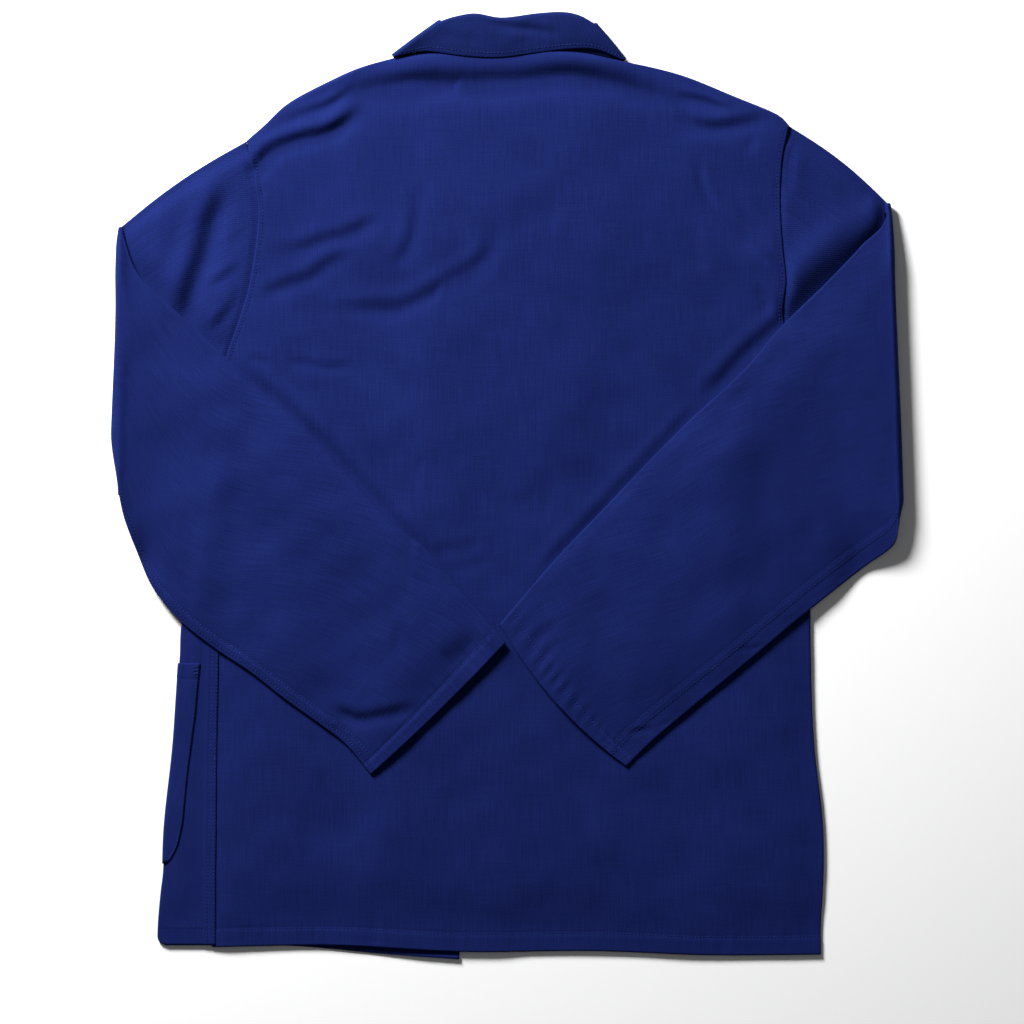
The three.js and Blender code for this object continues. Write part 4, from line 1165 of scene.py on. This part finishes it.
def upper_sleeve(sleeve):
    """Rows from the armhole to the fold, each with its flat coordinates."""
    side, underarm = sleeve["side"], np.array(sleeve["underarm"])
    hole_x, hole_y = edge_point(sleeve["name"], np.linspace(SHOULDER_ROW, 0, 200))
    hole_x = hole_x + side * SEAM_GAP
    hole_x = hole_x + (underarm[0] - hole_x[-1]) * smooth(60, 0, hole_y - underarm[1])
    hole_share = (hole_y[0] - hole_y) / (hole_y[0] - hole_y[-1])
    fold_top, fold_under = fold_ends(sleeve)
    bulge = np.array([side * SHOULDER_BULGE[0], SHOULDER_BULGE[1]])
    for t in spread(SLEEVE_REACH, 6, 0, CELL, 1.5) / SLEEVE_REACH:
        top_edge = toward(np.array([hole_x[0], hole_y[0]]), fold_top, t)
        distance, share, way, length = sleeve_line(top_edge, toward(underarm, fold_under, t))
        hole = np.stack([np.interp(share, hole_share, values) for values in (hole_x, hole_y)], 1)
        plan = toward(hole, toward(fold_top, fold_under, share[:, None]), t)
        plan = plan + bulge * (math.sin(math.pi * t) * (1 - share))[:, None]
        x, y = plan.T
        at_seam = back_level(x, y) - 0.9 + 1.2 * smooth(0.015, 0.045, t)
        level = toward(at_seam, sleeve_top_level(sleeve, x, y), smooth(0, sleeve["seam_blend"], t))
        level = toward(level, 2 * SLEEVE_HALF + FRONT_LEVEL, smooth(0.82, 1, t))
        pinch = 1 - smooth(0, 16, near_ends(distance))
        level = toward(level, FRONT_LEVEL + 2 * SLEEVE_EDGE, 0.75 * pinch)
        level = np.maximum(level, FRONT_LEVEL + CLOTH + 0.3)
        row = ring(on_table(plan), way, UP, level, np.full(PLACE_COUNT, FRONT_LEVEL))
        # The edge is tucked in under the back's armhole
        tuck = 2.4 * (1 - smooth(0, 0.05, t)) * smooth(0.02, 0.08, share)
        row[:PLACE_COUNT, 0] -= side * tuck
        yield row, ring_flat(distance, -SLEEVE_REACH * (1 - t), 0)


def fold_shape(sleeve, distance, share, length):
    """At each place of the fold: half its thickness, its radius and how far out it reaches."""
    from_top = share * length
    pinch = 1 - smooth(0, 16, near_ends(distance))
    half = toward(SLEEVE_HALF, SLEEVE_EDGE, 0.75 * pinch)
    radius = SLEEVE_FOLD_RADIUS * toward(0.45, 1, smooth(0, 50, from_top))
    reach = 0.15 + 0.85 * smooth(0, sleeve["fold_round"], length - from_top)
    reach = reach * toward(1, sleeve["fold_start"], rounded(from_top / 14))
    widening = sleeve["fold_widening"] * smooth(60, 210, from_top)
    return half, radius, reach * (0.58 + widening + 0.25 * bell(from_top, 40))


def folded_sleeve(sleeve, creases, seed, keys, lengths):
    """Rows round the fold and on to the cuff, each with its flat coordinates."""
    side, stations = sleeve["side"], sleeve["stations"]
    fold_top, fold_under = fold_ends(sleeve)
    distance, share, way, length = sleeve_line(fold_top, fold_under)
    half, radius, reach = fold_shape(sleeve, distance, share, length)
    plan = on_table(toward(fold_top, fold_under, share[:, None]))
    out = np.array([side, 0, 0.0])
    for turn in math.pi * np.arange(1, FOLD_STEPS) / FOLD_STEPS:
        normal = UP * math.cos(turn) - out * math.sin(turn)
        level = FRONT_LEVEL + SLEEVE_HALF + radius * (1 - math.cos(turn))
        line = plan + out * (radius * math.sin(turn))[:, None] + UP * level[:, None]
        row = ring(line, way, normal, half, -half)
        base_x = np.interp(row[:, 1], [fold_under[1], fold_top[1]], [fold_under[0], fold_top[0]])
        row[:, 0] = toward(base_x, row[:, 0], round_ring(reach))
        yield row, ring_flat(distance, SLEEVE_FOLD_RADIUS * turn)

    start_low = FRONT_LEVEL + SLEEVE_HALF + 2 * radius - half
    for place in lengths:
        here = {key: through(keys, values, place) for key, values in stations.items()}
        top_edge = np.array([here["top_x"], here["top_y"]])
        under_edge = np.array([here["under_x"], here["under_y"]])
        distance, share, way, length = sleeve_line(top_edge, under_edge)
        bow = here["bow"] * 4 * share * (1 - share)
        plan = toward(top_edge, under_edge, share[:, None])
        plan = plan + np.array([side * way[1], -side * way[0]]) * bow[:, None]
        x, y = plan.T
        from_cuff = lengths[-1] - place
        near_edge = near_ends(distance)
        pinch = 1 - smooth(0, 10, near_edge)
        puff = 2 * SLEEVE_EDGE + 2.6 * smooth(0, 50, near_edge) + 0.3 * (1 - pinch)
        puff = puff * toward(0.5, 1, smooth(5, 50, from_cuff))
        settled = smooth(-8, 85, place)
        rest = sleeve_rest(sleeve, x, y)
        low = toward(start_low, rest, settled)
        high = toward(start_low + 2 * half, rest + puff, settled)
        relief = crease_height(x, y, creases) + 0.4 * waves(x, y, 85, seed)
        relief = relief + 0.16 * waves(x, y, 34, seed + 1)
        high = high + relief * smooth(0, 0.35, settled) * (1 - 0.6 * pinch)
        # The felled underarm seam and the cuff's hem
        from_seam = distance[-1] - distance - sleeve["seam_width"]
        seam = sleeve["seam_rise"] * (bell(from_seam + 3.4, 3.2) - bell(from_seam, 1.5))
        seam = seam + 0.22 * ripple(np.full(PLACE_COUNT, place), 8, seed) * bell(from_seam + 2, 5)
        hem = 0.35 * (1 - smooth(CUFF_HEM - 1.5, CUFF_HEM + 1, from_cuff))
        hem = hem - 0.5 * bell(from_cuff - CUFF_HEM, 1.5)
        hem = hem + 0.6 * ripple(distance, 12, seed + 2) * bell(from_cuff - CUFF_HEM + 1, 8)
        high = high + seam * smooth(0.1, 0.5, settled) + hem * (1 - 0.5 * pinch)
        high = np.maximum(high, low + CLOTH + 0.4)
        yield ring(on_table(plan), way, -UP, -low, -high), ring_flat(distance, place + 14)


def make_sleeve(sleeve, creases, seed):
    stations = sleeve["stations"]
    steps = [np.hypot(np.diff(stations[f"{edge}_x"]), np.diff(stations[f"{edge}_y"]))
             for edge in ("top", "under")]
    keys = join([0], np.cumsum((steps[0] + steps[1]) / 2))
    lengths = spread(keys[-1], 0, CUFF_ZONE, CELL)
    rows = [*upper_sleeve(sleeve), *folded_sleeve(sleeve, creases, seed, keys, lengths)]
    middle, coords = (np.array(grids) for grids in zip(*rows))
    first = len(rows) - len(lengths)
    in_hem = join(np.zeros(first, bool), keys[-1] - lengths < CUFF_HEM)
    thickness = np.where(in_hem, CLOTH * 1.4, CLOTH)[:, None]
    turned = sleeve["side"] < 0
    if turned:
        middle, coords = middle[:, ::-1], coords[:, ::-1]
    cloth = cloth_piece(f"sleeve_{sleeve['name']}", middle, coords, closed=True, thickness=thickness)
    last_place = middle.shape[1] - 1
    cuff_row = first + place_at(keys[-1] - CUFF_HEM, lengths)
    lines = [on_surface(cloth, cuff_row, np.linspace(0, last_place, 600))]
    for inside in (0.4, 6.4):
        # The layer that faces up after the fold is the second one round the ring
        place = PLACE_COUNT + len(END_ANGLES)
        place += place_at(sleeve["seam_width"] - inside, SLEEVE_WIDTH - SLEEVE_PLACES[::-1])
        place = last_place - place if turned else place
        lines.append(on_surface(cloth, np.arange(first + 2, len(rows) - 1, 0.5), place))
    return cloth, lines


# Collar

def collar_stations():
    """The collar's rows with their turn: within each group, and round the corners between them."""
    keys = [key for key in COLLAR if key != "turn"]
    stations = []
    for group, (first, last, steps) in enumerate(COLLAR_GROUPS):
        span = slice(first, last + 1)
        for k in np.linspace(first, last, steps):
            row = {key: through(range(first, last + 1), COLLAR[key][span], k) for key in keys}
            stations.append((row, COLLAR["turn"][first]))
        if group < 2:
            for t in np.arange(1, COLLAR_TURN_STEPS) / COLLAR_TURN_STEPS:
                row = {key: toward(COLLAR[key][last], COLLAR[key][last + 1], t) for key in COLLAR}
                stations.append((row, row["turn"]))
    return stations


def make_collar():
    stations = collar_stations()
    stand = np.linspace(0, 1, 6)
    roll_turn = np.radians(np.linspace(0, 180, 11))[1:-1]
    fall = np.linspace(0, 1, 24)
    on_fall = slice(len(stand) + len(roll_turn), None)
    rows, flat_rows = [], []
    run = 0
    for row, turn_degrees in stations:
        turn = math.radians(turn_degrees)
        mix = turn_degrees / 180
        roll = toward(ROLL_BACK, ROLL_FRONT, mix)
        edge_level = toward(EDGE_LEVEL_BACK, EDGE_LEVEL_FRONT, mix)
        edge_level = edge_level - 1.3 * smooth(45, 85, abs(row["edge_x"])) * (1 - mix)
        ends = (np.array([row[f"{part}_x"], row[f"{part}_y"]]) for part in ("seam", "roll", "edge"))
        seam, crest, edge = ends
        inward = (crest - seam) / np.linalg.norm(crest - seam)
        crease = crest - inward * roll
        line = (crest - edge) / np.linalg.norm(crest - edge)
        out = (np.sign(edge[0]) or 1) * np.array([line[1], -line[0]])
        fall_level = STAND_HALF + 2 * roll
        plan = join(
            toward(seam, crease, stand[:, None]),
            crease + inward * (roll * np.sin(roll_turn))[:, None],
            toward(crease, edge, fall[:, None]),
        )
        level = join(
            np.full(len(stand), STAND_HALF),
            STAND_HALF + roll * (1 - np.cos(roll_turn)),
            toward(fall_level, edge_level, fall) + 1.1 * np.sin(math.pi * fall) * (1 - mix),
        )
        if math.cos(turn) > 0.99:
            x, y = plan[on_fall].T
            from_edge = (1 - fall) * np.linalg.norm(edge - crease)
            relief = crease_height(x, y, COLLAR_CREASES) + 0.25 * waves(x, y, 30, 12)
            relief = relief - 0.3 * bell(from_edge - COLLAR_STITCH, 1.3)
            relief = relief + 0.2 * ripple(x, 9, 5) * bell(from_edge - 4, 5)
            level[on_fall] += relief * np.sin(math.pi * np.clip(fall + 0.12, 0, 1) ** 0.8)
        plan = plan + out * (level * math.sin(turn) * CORNER_BULGE)[:, None]
        points = np.column_stack([plan, NECK_MIDDLE + level * math.cos(turn)])
        if rows:
            run += np.linalg.norm(points[10] - rows[-1][10])
        rows.append(points)
        along = np.cumsum(np.linalg.norm(np.diff(points, axis=0), axis=1))
        flat_rows.append(np.stack([np.full(len(points), run), join([0], along)], 1))
    middle, coords = np.array(rows), np.array(flat_rows)
    collar = cloth_piece("collar", middle, coords, "collar_twill", thickness=COLLAR_CLOTH)
    near_edge = middle.shape[1] - 1 - COLLAR_STITCH / 1.6
    return collar, [on_surface(collar, np.arange(1, len(stations) - 1.5, 0.5), near_edge)]


# Buttons: sewn-through discs with a raised rim, four holes and crossed thread
BUTTON_COUNT = 5
BUTTON_TOP_Y = 272
BUTTON_PITCH = 135
BUTTON_RADIUS = 10
BUTTON_GAP = 0.02
BUTTON_MIDDLE = 6.0
BUTTON_CENTRE = 0.02
BUTTON_BACK_Z = 2.1
BUTTON_FACE_Z = 0.62
BUTTON_DIP = 0.62
BUTTON_HOLE = 1.1
BUTTON_HOLE_OFFSET = 2.3
BUTTON_SIDES = 48
BUTTON_RINGS = 12
# The rim from the back to the face, as distances from the button's edge and heights
BUTTON_RIM = [
    (-1.6, 2.2), (-0.5, 2.05), (0, 1.5), (0, 0.9), (-0.3, 0.3), (-1.1, 0.02), (-2.1, 0.1), (-3.2, 0.55),
]


def button_place(number):
    y = BUTTON_TOP_Y - number * BUTTON_PITCH
    return button_line(y), y


def make_button(number):
    """A button with its face to the table, as rings out over its back, round the rim and in."""
    x, y = button_place(number)
    inward = BUTTON_MIDDLE * np.arange(BUTTON_RINGS, 0, -1) / BUTTON_RINGS
    inward = np.append(inward, BUTTON_CENTRE)
    rings = [(size, BUTTON_BACK_Z) for size in inward[::-1]]
    rings += [(BUTTON_RADIUS + out, z) for out, z in BUTTON_RIM]
    rings += [(size, BUTTON_FACE_Z) for size in inward]
    size, level = np.array(rings).T[:, :, None]
    turn = 2 * math.pi * np.arange(BUTTON_SIDES) / BUTTON_SIDES
    plan_x, plan_y = size * np.cos(turn), size * np.sin(turn)
    level = level + 0 * plan_x
    # Each hole is a dip in both faces
    way = np.where(np.arange(len(rings)) < len(inward), -1, 1)[:, None]
    for side_x in (-1, 1):
        for side_y in (-1, 1):
            near = np.hypot(plan_x - side_x * BUTTON_HOLE_OFFSET, plan_y - side_y * BUTTON_HOLE_OFFSET)
            level += way * BUTTON_DIP * (1 - smooth(BUTTON_HOLE * 0.7, BUTTON_HOLE * 1.15, near))
    points = np.stack([plan_x + x, plan_y + y, level + BUTTON_GAP], 2).reshape(-1, 3)
    index = np.arange(len(points)).reshape(len(rings), BUTTON_SIDES)
    index = np.pad(index, ((0, 1), (0, 1)), mode="wrap")
    piece = build_mesh(f"button_{number + 1}_disc", points, quads(index)[:, ::-1])
    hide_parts(f"button_{number + 1}")
    finished(piece, "button", "button")


def button_threads():
    """Crossed thread through every button's holes."""
    lines = []
    for number in range(BUTTON_COUNT):
        x, y = button_place(number)
        for way in (-1, 1):
            points = np.linspace([x - 2.4, y - 2.4 * way, 0.6], [x + 2.4, y + 2.4 * way, 0.6], 5)
            lines.append((points, np.tile(-UP, (5, 1))))
    return lines


# Assembly
PANELS = {
    "back": make_back(),
    "front_left": make_front_left(),
    "front_right": make_front_right(),
    "pocket_left": make_pocket_left(),
    "pocket_right": make_pocket_right(),
    "sleeve_left": make_sleeve(LEFT_SLEEVE, LEFT_SLEEVE_CREASES, 21),
    "sleeve_right": make_sleeve(RIGHT_SLEEVE, RIGHT_SLEEVE_CREASES, 31),
    "collar": make_collar(),
}
for number in range(BUTTON_COUNT):
    make_button(number)
stitches("button_threads", button_threads(), start=0.4, length=5.6)

# Each sheet's flat size and area in metres, how it is held and what it rests on
SHEETS = [
    ("back", (0.56, 0.79), 0.40, "laid", ["front_left_cloth", "front_right_cloth"]),
    ("front_left", (0.34, 0.78), 0.225, "laid", []),
    ("front_right", (0.29, 0.77), 0.195, "laid", []),
    ("sleeve_left", (0.54, 0.64), 0.21, "folded", ["back_cloth"]),
    ("sleeve_right", (0.52, 0.65), 0.215, "folded", ["back_cloth"]),
    ("collar", (0.44, 0.10), 0.04, "folded", ["back_cloth"]),
    ("pocket_left", (0.19, 0.175), 0.031, "folded", ["front_left_cloth"]),
    ("pocket_right", (0.18, 0.175), 0.029, "laid", ["front_right_cloth"]),
]
for node, flat, area, held, rests_on in SHEETS:
    piece, lines = PANELS[node]
    thread = stitches(f"{node}_stitches", lines)


# Studio: a pale floor, a soft key light from the upper left, and a camera straight above
FRAME_WIDTH = 0.88064
FRAME_CENTRE = (0.00374, -0.02236)
FRAME_LEVEL = 0.008
CAMERA_HEIGHT = 4.0
SENSOR = 36

bpy.ops.mesh.primitive_grid_add(size=24, x_subdivisions=8, y_subdivisions=8)
floor = bpy.context.object
floor.name = "floor"
floor.data.materials.append(new_material("floor", (0.93, 0.93, 0.93), 0.9, 0.1)[0])


def area_light(name, place, size, power):
    """A round light that points at the jacket's middle."""
    data = bpy.data.lights.new(name, "AREA")
    data.shape = "DISK"
    data.size = size
    data.energy = power
    light = bpy.data.objects.new(name, data)
    light.location = place
    x, y, z = place
    light.rotation_euler = (math.atan2(math.hypot(x, y), z), 0, math.atan2(-y, -x) - math.pi / 2)
    bpy.context.scene.collection.objects.link(light)


area_light("key", (-1.11, 1.64, 1.05), 0.75, 145)
area_light("fill", (0.5, 0.2, 2.4), 2.0, 2.4)
world = bpy.data.worlds.new("studio")
bpy.context.scene.world = world
world.use_nodes = True
set_inputs(world.node_tree.nodes["Background"], {"Color": (0.97, 0.98, 1, 1), "Strength": 0.08})

lens = bpy.data.cameras.new("camera")
lens.sensor_width = SENSOR
lens.lens = SENSOR * (CAMERA_HEIGHT - FRAME_LEVEL) / FRAME_WIDTH
lens.clip_start = 0.1
lens.clip_end = 50
camera = bpy.data.objects.new("camera", lens)
camera.location = (*FRAME_CENTRE, CAMERA_HEIGHT)
bpy.context.scene.collection.objects.link(camera)
bpy.context.scene.camera = camera
bpy.context.scene.view_settings.view_transform = "Standard"
